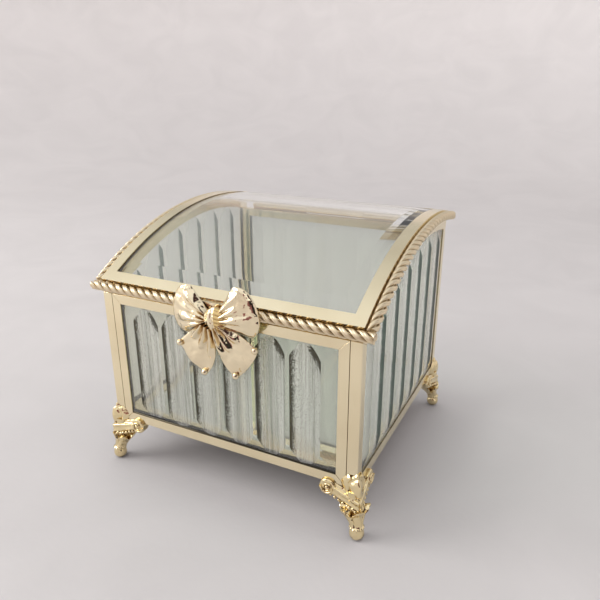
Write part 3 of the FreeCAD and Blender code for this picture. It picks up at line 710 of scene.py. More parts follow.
@dataclass
class FlutedWall:
    """One wall of glass, with flutes ground into its outer face.

    Attributes:
        node: The wall's CAD node.
        across: The direction across the wall.
        outward: The wall's outward direction.
        pitch: The distance between flutes.
        finish: The finish of its flutes.
        matt: Whether that finish covers the whole outer face.
    """

    node: str
    across: Vector
    outward: Vector
    pitch: float
    finish: Glass
    matt: bool = False
    flutes: int = 6
    flute_width: float = 11.2
    flute_depth: float = 0.6
    flange: float = 3.6
    bevel: float = 5.6
    fit: float = 0.03
    sharp_angle: float = 4.5
    facing: float = 0.9
    matt_facing: float = 0.5
    low: Vector = field(init=False)
    high: Vector = field(init=False)
    middle: float = field(init=False)

    def __post_init__(self) -> None:
        """Finds the wall's box and its middle."""
        self.low, self.high = box_mm(self.node)
        self.middle = (self.low + self.high).dot(self.across) / 2

    def is_flute(self, face: BMFace) -> bool:
        """Tells whether a face lies in one of the flutes."""
        if face.normal.dot(self.outward) < self.facing:
            return False
        place = face.calc_center_median()
        offset = place.dot(self.across) - self.middle + (self.flutes - 1) * self.pitch / 2
        nearest = min(max(round(offset / self.pitch), 0), self.flutes - 1)
        away = offset - nearest * self.pitch
        if abs(away) > self.flute_width / 2:
            return False
        radius = (self.flute_width ** 2 / 4 + self.flute_depth ** 2) / (2 * self.flute_depth)
        flat = max(self.low.dot(self.outward), self.high.dot(self.outward))
        groove = flat - self.flute_depth + radius - math.sqrt(radius ** 2 - away ** 2)
        return abs(place.dot(self.outward) - groove) < self.fit

    def is_cut(self, face: BMFace) -> bool:
        """Tells whether a face has the finish of the flutes."""
        return self.is_flute(face) or (self.matt and face.normal.dot(self.outward) > self.matt_facing)

    def build(self) -> None:
        """Builds the wall, with its flutes ground and the rest polished."""
        bm = cad_copy(self.node)
        for face in bm.faces:
            face.material_index = int(self.is_cut(face))
        rail_top = box_mm("front_bottom_rail")[1].z
        polished = replace(WALL_GLASS, rail_top=rail_top)
        cut = self.finish
        if isinstance(cut, GroundFlute):
            cut = replace(cut, middle=self.middle, pitch=self.pitch, half_width=self.flute_width / 2,
                          line_height=self.high.z - self.flange - self.bevel, rail_top=rail_top)
        add_piece(self.node + "_cut", bm, [polished, cut], Body.CASE, Slot.GLASS, [self.node],
                  self.sharp_angle)


@dataclass
class CutGlass:
    """The four fluted walls, the bent lid and the mirror floor."""

    front_pitch: float = 12.8
    side_pitch: float = 13.2

    def build(self) -> None:
        """Builds the walls and dresses the lid's glass and the mirror."""
        right = Vector((1, 0, 0))
        back = Vector((0, 1, 0))
        for wall in (FlutedWall("front_glass", right, -back, self.front_pitch, FRONT_GROUND),
                     FlutedWall("back_glass", right, back, self.front_pitch, BACK_GLASS, matt=True),
                     FlutedWall("right_glass", back, right, self.side_pitch, RIGHT_GROUND),
                     FlutedWall("left_glass", back, -right, self.side_pitch, LEFT_GROUND)):
            wall.build()
        dress_node("lid_glass", CLEAR_GLASS)
        dress_node("floor_mirror", MIRROR)


# Rope edge

@dataclass
class LidArch:
    """The circle that the lid and its rope follow, found from the case's corners."""

    radius: float = 125.6
    gap: float = 0.4
    channel: float = 3.9
    overhang: float = 0.4
    centre: Vector = field(init=False)
    half_width: float = field(init=False)
    front_angle: float = field(init=False)
    back_angle: float = field(init=False)

    def __post_init__(self) -> None:
        """Finds the centre from the front and back top corners of the case."""
        front_low, front_high = box_mm("front_top_rail")
        _, side_high = box_mm("right_back_stile")
        depth = side_high.y - front_low.y
        rise = side_high.z - front_high.z
        half_chord = math.hypot(depth, rise) / 2
        height = math.sqrt(self.radius ** 2 - half_chord ** 2)
        slope = math.atan2(rise, depth)
        middle_y = (front_low.y + side_high.y) / 2
        middle_z = (front_high.z + side_high.z) / 2
        self.centre = Vector((0, middle_y + height * math.sin(slope), middle_z - height * math.cos(slope)))
        self.half_width = side_high.x + self.overhang
        outer = self.radius + self.gap + self.channel
        self.front_angle = math.asin((front_low.y - self.centre.y) / outer)
        self.back_angle = math.asin((side_high.y - self.centre.y) / outer)

    def rope_radius(self) -> float:
        """Returns the radius of the middle of the lid's edge."""
        return self.radius + self.gap + self.channel / 2

    def front_rope_centre(self, offset: float) -> Vector:
        """Returns the middle of the front rope, whose centre line stands off the lid's edge by an offset."""
        return self.point(0, self.rope_radius(), self.front_angle) - self.back(self.front_angle) * offset

    def up(self, angle: float) -> Vector:
        """Returns the outward direction at an angle."""
        return Vector((0, math.sin(angle), math.cos(angle)))

    def back(self, angle: float) -> Vector:
        """Returns the direction along the arc, towards the back."""
        return Vector((0, math.cos(angle), -math.sin(angle)))

    def point(self, x: float, radius: float, angle: float) -> Vector:
        """Returns a point at a place across, a radius and an angle."""
        return self.centre + Vector((x, 0, 0)) + self.up(angle) * radius


@dataclass
class RopeTrim:
    """Three strands of twin wire, laid round a core along the lid's front and sides."""

    arch: LidArch
    diameter: float = 3.6
    strands: int = 3
    turn: float = 10.2
    wire_radius: float = 0.56
    twin_angle: float = 15.0
    core_radius: float = 0.6
    fit: float = 0.05
    end_gap: float = 0.1
    bow_stem: float = 9.6
    wire_sides: int = 14
    steps_per_pitch: int = 6
    spare: float = 0.8
    cap_step: float = 0.03

    def lay(self, length: float) -> BMesh:
        """Makes a straight rope along X from zero, by laying one strand's pitch and repeating it.

        Args:
            length: The rope's length.

        Returns:
            The rope's mesh, with Y outward and Z up.
        """
        bm = bmesh.new()
        lay_radius = self.diameter / 2 - self.wire_radius
        slant = math.atan2(2 * math.pi * lay_radius, self.turn)
        pitch = self.turn / self.strands
        wires = [(self.wire_radius, lay_radius, slant, 360 / self.strands * strand + twin * self.twin_angle)
                 for strand in range(self.strands) for twin in (-1, 1)]
        wires.append((self.core_radius, 0.0, 0.0, 0.0))
        for radius, reach, lean, start in wires:
            ring = bmesh.ops.create_circle(bm, segments=self.wire_sides, radius=radius)["verts"]
            stand = Matrix.Rotation(math.radians(90), 4, "Y")
            turned = (Matrix.Translation((-self.spare, 0, 0)) @ Matrix.Rotation(math.radians(start), 4, "X")
                      @ Matrix.Translation((0, 0, reach)) @ Matrix.Rotation(lean, 4, "Z") @ stand)
            bmesh.ops.transform(bm, matrix=turned, verts=ring)
            bmesh.ops.spin(bm, geom=ring + ring_edges(ring), cent=(0, 0, 0), axis=(1, 0, 0),
                           dvec=(pitch / self.steps_per_pitch, 0, 0), angle=-2 * math.pi / self.strands,
                           steps=self.steps_per_pitch)
        laid = pitch
        while laid < length + 2 * self.spare:
            made = bmesh.ops.duplicate(bm, geom=everything(bm))["geom"]
            bmesh.ops.translate(bm, vec=(laid, 0, 0), verts=only(made, BMVert))
            laid *= 2
        bmesh.ops.remove_doubles(bm, verts=bm.verts, dist=WELD)
        for end, outward in ((0.0, -1), (length, 1)):
            cut = bmesh.ops.bisect_plane(bm, geom=everything(bm), plane_co=(end, 0, 0),
                                         plane_no=(outward, 0, 0), clear_outer=True)["geom_cut"]
            caps = bmesh.ops.holes_fill(bm, edges=only(cut, BMEdge), sides=0)["faces"]
            caps.sort(key=lambda cap: cap.calc_center_median().to_tuple(3))
            for order, cap in enumerate(caps):
                bmesh.ops.translate(bm, vec=(-outward * self.cap_step * order, 0, 0), verts=cap.verts)
        return bm

    def set_along(self, bm: BMesh, place: Callable[[float], tuple[Vector, Vector, Vector]]) -> None:
        """Moves a straight rope onto its line.

        Args:
            bm: The straight rope.
            place: Gives the middle, the outward and the up direction at a distance along the rope.
        """
        for vert in bm.verts:
            middle, outward, up = place(vert.co.x)
            vert.co = middle + outward * vert.co.y + up * vert.co.z
        bm.normal_update()

    def front(self) -> None:
        """Builds the two lengths along the front, on either side of the bow's stem."""
        arch = self.arch
        offset = self.diameter / 2 + self.fit
        ahead = -arch.back(arch.front_angle)
        up = arch.up(arch.front_angle)
        ends = self.bow_stem / 2 + self.end_gap
        length = arch.half_width + self.diameter - ends
        middle = arch.front_rope_centre(offset)
        for x, name, node in ((-ends - length, "rope_front_left", "lid_rope_front"),
                              (ends, "rope_front_right", "lid_rope_front_right")):
            rope = self.lay(length)
            self.set_along(rope, lambda along: (middle + Vector((x + along, 0, 0)), ahead, up))
            add_piece(name, rope, [ROPE_WIRE], Body.LID, Slot.ROPE, [node])

    def sides(self) -> None:
        """Builds the two curved lengths, whose lay runs on from the front."""
        arch = self.arch
        radius = arch.rope_radius()
        front_end = arch.front_angle + self.end_gap / radius
        for side, name in ((1, "right"), (-1, "left")):
            first = front_end if side > 0 else arch.back_angle
            x = side * (arch.half_width + self.diameter / 2 + self.fit)
            rope = self.lay((arch.back_angle - front_end) * radius)
            self.set_along(rope, lambda along: (arch.point(x, radius, first + side * along / radius),
                                                Vector((side, 0, 0)), arch.up(first + side * along / radius)))
            add_piece("rope_" + name, rope, [ROPE_WIRE], Body.LID, Slot.ROPE, ["lid_rope_" + name])

    def build(self) -> None:
        """Builds every length of rope."""
        self.front()
        self.sides()


# Bow

def pillow(bm: BMesh, across: int, along: int, place: Callable[[float, float, int], Vector]) -> None:
    """Adds a closed form of a front and a back sheet that meet at their rims.

    Args:
        bm: The mesh to add to.
        across: Faces across each sheet.
        along: Faces along each sheet.
        place: Gives the place of a point from its two shares, each from -1 to 1, and 1 for front or -1 for
            back.
    """
    sheets = []
    for face_side in (1, -1):
        sheet = bmesh.ops.create_grid(bm, x_segments=across, y_segments=along, size=1.0)["verts"]
        for vert in sheet:
            vert.co = place(vert.co.x, vert.co.y, face_side)
        sheets += sheet
    bmesh.ops.remove_doubles(bm, verts=sheets, dist=WELD)


def ease(share: float) -> float:
    """Crowds a share from -1 to 1 towards both ends, so that a round rim gets enough points."""
    return math.sin(share * math.pi / 2)


@dataclass
class CastBow:
    """A ribbon bow: two gathered loops, two flaring tails, a wrapped knot and a stem behind it."""

    arch: LidArch
    tilt: float = 5.7
    offset: float = 0.8
    loop_reach: float = 16.9
    loop_angle: float = 13.0
    loop_spread: float = 40.0
    loop_root: float = 1.3
    loop_corner: float = 0.2
    loop_depth: float = 4.8
    loop_edge: float = 0.6
    loop_back: float = 0.9
    loop_full: float = 0.62
    loop_crest: float = 0.15
    folds: int = 4
    fold_depth: float = 1.5
    hollow_depth: float = 0.8
    hollow_place: float = 0.3
    hollow_width: float = 0.3
    tail_inner_root: tuple[float, float] = (0.3, -2.8)
    tail_outer_root: tuple[float, float] = (4.0, -0.9)
    tail_tip: tuple[float, float] = (6.1, -20.2)
    tail_corner: tuple[float, float] = (15.9, -9.2)
    tail_inner_bend: tuple[float, float] = (-0.9, -15.4)
    tail_outer_bend: tuple[float, float] = (9.5, -4.2)
    tail_middle: tuple[float, float] = (7.9, -10.1)
    tail_bulge: float = 1.2
    tail_thickness: float = 1.4
    tail_stand_off: float = 2.0
    tail_root_lift: float = 0.4
    tail_ridges: int = 3
    tail_wave: float = 0.35
    finger_height: float = 1.7
    finger_length: float = 0.58
    finger_even: float = 0.75
    bead_radius: float = 1.2
    bead_inset: float = 0.8
    bead_proud: float = 0.5
    knot_width: float = 9.6
    knot_shift: float = 1.5
    knot_height: float = 9.0
    knot_depth: float = 4.9
    knot_full: float = 0.16
    knot_wraps: int = 7
    knot_back: float = 0.1
    wrap_depth: float = 0.24
    wrap_sink: float = 0.20
    wrap_slant: float = 0.35
    wrap_start: float = 0.15
    painted_shade_start: float = 0.3
    # Place, width and height of the knot's upright folds
    knot_folds: tuple[tuple[float, float, float], ...] = ((-0.12, 0.10, 0.22), (-0.62, 0.09, 0.12))
    knot_drop: float = 2.4
    stem_width: float = 9.6
    rope_diameter: float = 3.6
    fit: float = 0.05

    def loop(self, side: int) -> Callable[[float, float, int], Vector]:
        """Returns the placing of a loop's points.

        Args:
            side: 1 for the right loop or -1 for the left.

        Returns:
            A function for pillow, with Y towards the viewer from the bow's back.
        """
        def place(a: float, b: float, face_side: int) -> Vector:
            fan = ease(a)
            out = math.sin((b + 1) * math.pi / 4)
            angle = math.radians(self.loop_angle + self.loop_spread * fan)
            reach = self.loop_reach * (1 - self.loop_corner * fan ** 4)
            distance = self.loop_root + (reach - self.loop_root) * out
            rim = max(1 - fan * fan, 0) ** 0.5 * max(1 - out ** 4, 0) ** 0.5
            edge = self.loop_edge * (2 - out)
            crest = math.sin(math.pi * min(out + self.loop_crest, 1))
            swell = (self.loop_depth - edge) * (self.loop_full + (1 - self.loop_full) * crest)
            crease = 0.5 + 0.5 * math.cos(math.pi * self.folds * (fan + 1))
            gather = self.fold_depth * crease ** 1.5 * max(1 - out, 0) ** 0.8
            sunk = hump(fan, self.hollow_place, self.hollow_width)
            hollow = self.hollow_depth * sunk * math.sin(math.pi * out) ** 2
            if face_side > 0:
                depth = edge + (swell - gather - hollow) * rim
            else:
                depth = edge - self.loop_back * self.loop_edge * rim
            return Vector((side * distance * math.cos(angle), depth, distance * math.sin(angle)))
        return place

    def tail(self, side: int) -> Callable[[float, float, int], Vector]:
        """Returns the placing of a tail's points.

        Args:
            side: 1 for the right tail or -1 for the left.

        Returns:
            A function for pillow, with Y towards the viewer from the bow's back.
        """
        def bend(start: tuple[float, float], middle: tuple[float, float], end: tuple[float, float],
                 share: float) -> Vector:
            first = Vector(start).lerp(Vector(middle), share)
            second = Vector(middle).lerp(Vector(end), share)
            return first.lerp(second, share)

        def place(a: float, b: float, face_side: int) -> Vector:
            along = math.sin((b + 1) * math.pi / 4)
            wide = ease(a)
            inner = bend(self.tail_inner_root, self.tail_inner_bend, self.tail_tip, along)
            outer = bend(self.tail_outer_root, self.tail_outer_bend, self.tail_corner, along)
            spot = inner.lerp(outer, (wide + 1) / 2)
            down = (Vector(self.tail_tip) + Vector(self.tail_corner)).normalized()
            spot += down * (self.tail_bulge * (1 - wide * wide) * along ** 3)
            rim = (max(1 - wide ** 8, 0) * max(1 - along ** 10, 0)) ** 0.5
            half = self.tail_thickness / 2 * rim
            wave = math.cos(self.tail_ridges * math.pi / 2 * wide)
            middle = self.tail_stand_off + self.tail_root_lift * (1 - along) + self.tail_wave * wave * along
            if face_side < 0:
                return Vector((side * spot.x, middle - half, spot.y))
            ridge = abs(wave)
            length = self.finger_length * (self.finger_even + (1 - self.finger_even) * ridge)
            fade = max(1 - (along / length) ** 3, 0) ** 0.5
            depth = middle + half + self.finger_height * ridge ** 1.6 * fade * rim
            return Vector((side * spot.x, depth, spot.y))
        return place

    def knot(self, bm: BMesh) -> None:
        """Adds the wrapped knot: two smooth upright folds on the left and fine wraps on the right, whose
        faces take a darker finish as painted shade.
        """
        ball = bmesh.ops.create_uvsphere(bm, u_segments=80, v_segments=56, radius=1.0)["verts"]
        for vert in ball:
            x, y, z = vert.co
            folds = sum(height * hump(x, place, width) for place, width, height in self.knot_folds)
            wrapped = clamp01(x / self.wrap_start)
            ripple = abs(math.sin((z + self.wrap_slant * x) * self.knot_wraps * math.pi / 2))
            wraps = self.wrap_depth * wrapped * ripple - self.wrap_sink * wrapped
            full = (1 + self.knot_full * (1 - z * z)) / (1 + self.knot_full)
            vert.co = Vector((x * self.knot_width / 2 * full + self.knot_shift,
                              self.knot_depth / 2 * (1 - y * (1 - folds + wraps)) - self.knot_back,
                              z * self.knot_height / 2))
        # Painted shade: faces right of this line take the darker knot finish.
        for face in {face for vert in ball for face in vert.link_faces}:
            face.material_index = int(face.calc_center_median().x > self.knot_shift + self.painted_shade_start)

    def beads(self, bm: BMesh) -> None:
        """Adds the small curls at the corners of the tails."""
        for side in (1, -1):
            for corner in (self.tail_corner, self.tail_tip):
                inward = (Vector(self.tail_middle) - Vector(corner)).normalized()
                spot = Vector(corner) + inward * (self.bead_inset * self.bead_radius)
                stand = Vector((side * spot.x, self.tail_stand_off + self.bead_proud, spot.y))
                add_bead(bm, stand, self.bead_radius, 24, 16)

    def stem(self, bm: BMesh, back: float) -> None:
        """Adds the block between the knot's back and the lid's sloping front edge.

        Args:
            bm: The mesh to add to.
            back: The place of the bow's back in Y.
        """
        arch = self.arch
        stand_off = arch.back(arch.front_angle) * self.fit
        low = arch.point(0, arch.radius + arch.gap, arch.front_angle) - stand_off
        high = arch.point(0, arch.radius + arch.gap + arch.channel, arch.front_angle) - stand_off
        for vert in bmesh.ops.create_cube(bm, size=1.0)["verts"]:
            end = high if vert.co.z > 0 else low
            y = end.y if vert.co.y > 0 else back - self.loop_edge
            vert.co = Vector((vert.co.x * self.stem_width, y, end.z))

    def build(self) -> None:
        """Builds the bow in front of the lid's edge."""
        bm = bmesh.new()
        for side in (1, -1):
            pillow(bm, 72, 40, self.loop(side))
            pillow(bm, 72, 44, self.tail(side))
        self.knot(bm)
        self.beads(bm)
        rope = self.arch.front_rope_centre(self.rope_diameter / 2 + self.fit)
        back = rope.y - self.rope_diameter / 2 - self.fit
        flip = Matrix.Diagonal((1, -1, 1, 1))
        lean = Matrix.Rotation(math.radians(-self.tilt), 4, "Y")
        place = Matrix.Translation((self.offset, back, rope.z - self.knot_drop)) @ lean @ flip
        bmesh.ops.transform(bm, matrix=place, verts=bm.verts)
        self.stem(bm, back)
        bmesh.ops.recalc_face_normals(bm, faces=bm.faces)
        add_piece("ribbon_bow", bm, [BOW_GOLD, KNOT_SHADE_GOLD], Body.LID, Slot.BOW, ["bow"], sharp=60.0)


# Feet

@dataclass
class CastFeet:
    """Four feet: a ball toe, a leafy shank, a flared collar, two scrolled arms and a shield on the corner."""

    height: float = 18.4
    seat_gap: float = 0.02
    toe_out: float = 0.99
    collar_in: float = 1.7
    collar_flatness: float = 0.86
    leaves: int = 5
    leaf_depth: float = 0.14
    leaf_tip: float = 1.2
    rib_depth: float = 0.04
    ribs_per_leaf: int = 3
    vein_depth: float = 0.5
    vein_width: float = 0.12
    ankle_beads: int = 14
    ankle_bead_depth: float = 0.05
    ankle_rise: float = 4.7
    ankle_width: float = 0.5
    lean_low: float = 4.5
    lean_length: float = 5.0
    shank_low: float = 5.2
    collar_rise: float = 10.3
    collar_lip: float = 0.5
    collar_fade: float = 0.8
    neck_radius: float = 2.9
    neck_bead_radius: float = 0.75
    neck_bead_count: int = 12
    neck_bead_rise: float = 12.0
    arm_reach: float = 10.2
    arm_proud: float = 1.2
    arm_width: float = 3.6
    arm_root: float = 13.4
    arm_lap: float = 1.6
    arm_flare: float = 1.2
    arm_root_height: float = 6.4
    arm_end_height: float = 5.2
    arm_ribs: int = 7
    arm_rib_depth: float = 0.13
    arm_steps: int = 16
    arm_beads: int = 7
    bead_radius: float = 0.6
    # Where the beads lie, as shares of the arm's width and height
    bead_line: tuple[float, float] = (0.34, 0.40)
    # Bead spacings that stay free before the first bead and at both ends together
    bead_margin: tuple[float, float] = (0.8, 0.6)
    volute_radius: float = 3.0
    volute_thickness: float = 3.4
    volute_drop: float = 1.5
    volute_edge: float = 0.5
    volute_bend: float = 60.0
    volute_eye: tuple[float, float, float] = (0.9, 0.7, 0.9)
    spiral_turns: float = 1.9
    spiral_wire: float = 0.5
    spiral_end: float = 0.26
    spiral_steps: int = 28
    shield_width: float = 8.0
    shield_height: float = 9.4
    shield_rise: float = 6.2
    shield_thickness: float = 0.6
    shield_foot: float = 0.42
    shield_shoulder: float = 0.94
    shield_scallop: float = 0.7
    shield_corner: float = 0.6
    shield_lip: float = 0.7
    lip_place: float = 0.82
    lip_width: float = 0.15
    shield_boss: float = 1.8
    boss_width: float = 0.6
    boss_rise: float = 0.42
    # Radius and height of the leg's outline, from the toe to the head
    leg_outline: tuple[tuple[float, float], ...] = (
        (0.0, 0.0), (1.0, 0.0), (1.85, 0.4), (2.4, 1.2), (2.55, 2.2), (2.45, 3.1), (2.15, 3.8), (2.1, 4.1),
        (2.4, 4.35), (2.6, 4.7), (2.45, 5.05), (2.3, 5.3), (2.4, 6.0), (2.75, 7.0), (3.3, 8.1), (4.0, 9.1),
        (4.75, 9.9), (5.0, 10.2), (4.9, 10.45), (4.3, 10.4), (3.4, 10.6), (3.0, 11.2), (2.85, 12.0),
        (2.95, 13.4), (3.0, 18.2), (0.0, 18.3))

    def leg(self, bm: BMesh) -> None:
        """Adds the toe, shank, collar and neck, with X outwards from the corner."""
        points = [bm.verts.new((radius, 0, height)) for radius, height in self.leg_outline]
        edges = [bm.edges.new(pair) for pair in zip(points, points[1:])]
        bmesh.ops.spin(bm, geom=points + edges, cent=(0, 0, 0), axis=(0, 0, 1), angle=2 * math.pi, steps=80,
                       use_merge=True)
        bmesh.ops.remove_doubles(bm, verts=bm.verts, dist=WELD)
        neck_low = self.collar_rise + self.collar_lip
        for vert in bm.verts:
            x, y, z = vert.co
            turn = math.atan2(y, x)
            shank = clamp01((z - self.shank_low) / (self.collar_rise - self.shank_low))
            if z > neck_low:
                shank = max(1 - (z - neck_low) / self.collar_fade, 0)
            leaf = abs(math.cos(self.leaves * turn / 2)) * 2 - 1
            vein = -self.vein_depth * hump(math.sin(self.leaves * turn / 2), 0, self.vein_width)
            ribs = self.rib_depth * math.cos(self.ribs_per_leaf * self.leaves * turn)
            swell = 1 + (self.leaf_depth * (leaf + vein) + ribs) * shank ** 0.5
            ankle = max(1 - abs(z - self.ankle_rise) / self.ankle_width, 0)
            beaded = 1 + self.ankle_bead_depth * math.cos(self.ankle_beads * turn) * ankle
            flat = 1 - (1 - self.collar_flatness) * shank
            inward = clamp01((z - self.lean_low) / self.lean_length)
            lean = self.toe_out - (self.collar_in + self.toe_out) * inward
            vert.co = Vector((x * swell * flat * beaded + lean, y * swell * beaded,
                              z + self.leaf_tip * leaf * shank ** 3))

    def neck_beads(self, bm: BMesh) -> None:
        """Adds a ring of beads round the neck, between the collar and the arms."""
        for bead in range(self.neck_bead_count):
            turn = 2 * math.pi * bead / self.neck_bead_count
            out = self.neck_radius * math.cos(turn) - self.collar_in
            spot = Vector((out, self.neck_radius * math.sin(turn), self.neck_bead_rise))
            add_bead(bm, spot, self.neck_bead_radius)

    def arm(self, bm: BMesh) -> None:
        """Adds one ribbed arm along X, from the neck to its volute, with beads along its lower rib."""
        start = Vector((-self.arm_lap, -self.arm_flare, self.arm_root))
        end = Vector((self.arm_reach, 0, self.height - self.volute_drop))
        ring = bmesh.ops.create_circle(bm, segments=56, radius=1.0)["verts"]
        for vert in ring:
            across, rise = vert.co.x, vert.co.y
            ribs = 1 + self.arm_rib_depth * math.cos(self.arm_ribs * math.atan2(rise, across))
            size = ribs / (2 + 2 * self.arm_rib_depth)
            vert.co = start + Vector((0, across * size * self.arm_width, rise * size * self.arm_root_height))
        loop = ring_edges(ring)
        steps = self.arm_steps
        shrink = (self.arm_end_height / self.arm_root_height) ** (1 / steps)
        for step in range(1, steps + 1):
            verts, loop = extrude_ring(bm, loop)
            middle = start.lerp(end, (step - 1) / steps)
            bmesh.ops.scale(bm, vec=(1, 1, shrink), space=Matrix.Translation(-middle), verts=verts)
            bmesh.ops.translate(bm, vec=(end - start) / steps, verts=verts)
        aside, below = self.bead_line
        first, free = self.bead_margin
        for bead in range(self.arm_beads):
            share = (bead + first) / (self.arm_beads + free)
            height = self.arm_root_height + (self.arm_end_height - self.arm_root_height) * share
            spot = start.lerp(end, share) - Vector((0, self.arm_width * aside, height * below))
            add_bead(bm, spot, self.bead_radius)

    def volute(self, bm: BMesh) -> None:
        """Adds the scroll at the end of an arm along X, with its face towards -Y."""
        centre = Vector((self.arm_reach, 0, self.height - self.volute_drop))
        face = Matrix.Translation(centre) @ Matrix.Rotation(math.radians(90), 4, "X")
        disc = bmesh.ops.create_cone(bm, cap_ends=True, segments=48, radius1=self.volute_radius,
                                     radius2=self.volute_radius, depth=self.volute_thickness,
                                     matrix=face)["verts"]
        rim = [edge for edge in ring_edges(disc)
               if edge.calc_face_angle() > math.radians(self.volute_bend)]
        round_off(bm, rim, self.volute_edge, 4, clamp=False)
        ring = bmesh.ops.create_circle(bm, segments=10, radius=self.spiral_wire)["verts"]
        bmesh.ops.translate(bm, vec=(self.volute_radius - self.spiral_wire, 0, 0), verts=ring)
        loop = ring_edges(ring)
        steps = round(self.spiral_steps * self.spiral_turns)
        shrink = self.spiral_end ** (1 / steps)
        turn = Matrix.Rotation(2 * math.pi * self.spiral_turns / steps, 3, "Y")
        spiral = list(ring)
        for _ in range(steps):
            verts, loop = extrude_ring(bm, loop)
            bmesh.ops.rotate(bm, cent=(0, 0, 0), matrix=turn, verts=verts)
            bmesh.ops.scale(bm, vec=(shrink, 1, shrink), verts=verts)
            spiral += verts
        lift = centre - Vector((0, self.volute_thickness / 2, 0))
        bmesh.ops.translate(bm, vec=lift, verts=spiral)
        eye = Matrix.Translation(lift) @ Matrix.Diagonal((*self.volute_eye, 1.0))
        bmesh.ops.create_uvsphere(bm, u_segments=18, v_segments=12, radius=1.0, matrix=eye)

    def shield(self, bm: BMesh) -> None:
        """Adds the shield, which wraps the corner and faces +X: a raised lip round a full boss."""
        base = self.height + self.shield_rise - self.shield_height

        def place(a: float, b: float, face_side: int) -> Vector:
            rise = (b + 1) / 2
            bow = math.sin(math.pi * self.shield_shoulder * rise)
            across = a * self.shield_width / 2 * (self.shield_foot + (1 - self.shield_foot) * bow)
            wall = self.seat_gap - abs(across)
            scallop = self.shield_scallop * rise ** 4 * (math.cos(1.5 * math.pi * a) - 1)
            top = base + rise * self.shield_height + scallop
            if face_side < 0:
                return Vector((wall, across, top))
            rim = (max(1 - a ** 10, 0) * max(1 - b ** 10, 0)) ** 0.5
            lip = self.shield_lip * hump(abs(a), self.lip_place, self.lip_width)
            off_boss = (a / self.boss_width) ** 2 + (rise / self.boss_rise - 1) ** 2
            boss = self.shield_boss * max(1 - off_boss, 0) ** 0.5
            soft = abs(across) - math.hypot(across, self.shield_corner) + self.shield_corner
            return Vector((wall + rim * (self.shield_thickness + lip + boss + soft), across, top))

        pillow(bm, 40, 40, place)

    def seat(self, bm: BMesh) -> None:
        """Keeps what lies behind the wall's face under the case."""
        limit = self.height - self.seat_gap
        for vert in bm.verts:
            if vert.co.y > -self.seat_gap:
                vert.co.z = min(vert.co.z, limit)

    def foot(self) -> BMesh:
        """Returns the foot of the front right corner, with that corner at X = Y = 0."""
        outward = Matrix.Rotation(math.radians(-45), 4, "Z")
        whole = bmesh.new()
        self.leg(whole)
        self.neck_beads(whole)
        self.shield(whole)
        bmesh.ops.transform(whole, matrix=outward, verts=whole.verts)
        for wall in range(2):
            part = bmesh.new()
            self.arm(part)
            self.volute(part)
            bmesh.ops.translate(part, vec=(0, self.arm_width / 2 - self.arm_proud, 0), verts=part.verts)
            self.seat(part)
            bmesh.ops.scale(part, vec=(-1, 1, 1), verts=part.verts)
            if wall == 1:
                swap = Matrix(((0, -1, 0, 0), (-1, 0, 0, 0), (0, 0, 1, 0), (0, 0, 0, 1)))
                bmesh.ops.transform(part, matrix=swap, verts=part.verts)
            mesh = new_mesh("arm", part)
            whole.from_mesh(mesh)
            bpy.data.meshes.remove(mesh)
        bmesh.ops.holes_fill(whole, edges=[edge for edge in whole.edges if edge.is_boundary], sides=0)
        return whole

    def build(self) -> None:
        """Builds the four feet, each the mirror image of its neighbours."""
        _, front_high = box_mm("right_front_stile")
        front_low, _ = box_mm("front_bottom_rail")
        _, back_high = box_mm("back_bottom_rail")
        cast = self.foot()
        for across, side in ((1, "right"), (-1, "left")):
            for deep, end in ((1, "front"), (-1, "back")):
                bm = cast.copy()
                corner_y = front_low.y if deep > 0 else back_high.y
                bmesh.ops.scale(bm, vec=(across, deep, 1), verts=bm.verts)
                bmesh.ops.translate(bm, vec=(across * front_high.x, corner_y, 0), verts=bm.verts)
                bmesh.ops.recalc_face_normals(bm, faces=bm.faces)
                name = "foot_" + end + "_" + side
                add_piece("leaf_" + name, bm, [FOOT_GOLD], Body.CASE, Slot.FEET, [name], sharp=50.0)
        cast.free()


# Hinge

@dataclass
class TubeHinge:
    """The three barrels and the pin: copies of the solids with eased edges."""

    edge_radius: float = 0.12
    bend: float = 60.0

    def build(self) -> None:
        """Builds the barrels and the pin."""
        for node, body in (("hinge_barrel_left", Body.CASE), ("hinge_barrel_right", Body.CASE),
                           ("hinge_barrel_middle", Body.LID), ("hinge_pin", Body.CASE)):
            bm = cad_copy(node)
            flatten(bm)
            round_off(bm, outer_edges(bm, self.bend), self.edge_radius, 2)
            piece = add_piece(node + "_turned", bm, [HINGE_BRASS], body, Slot.HINGE, [node])
            weigh_normals(piece)


# Studio

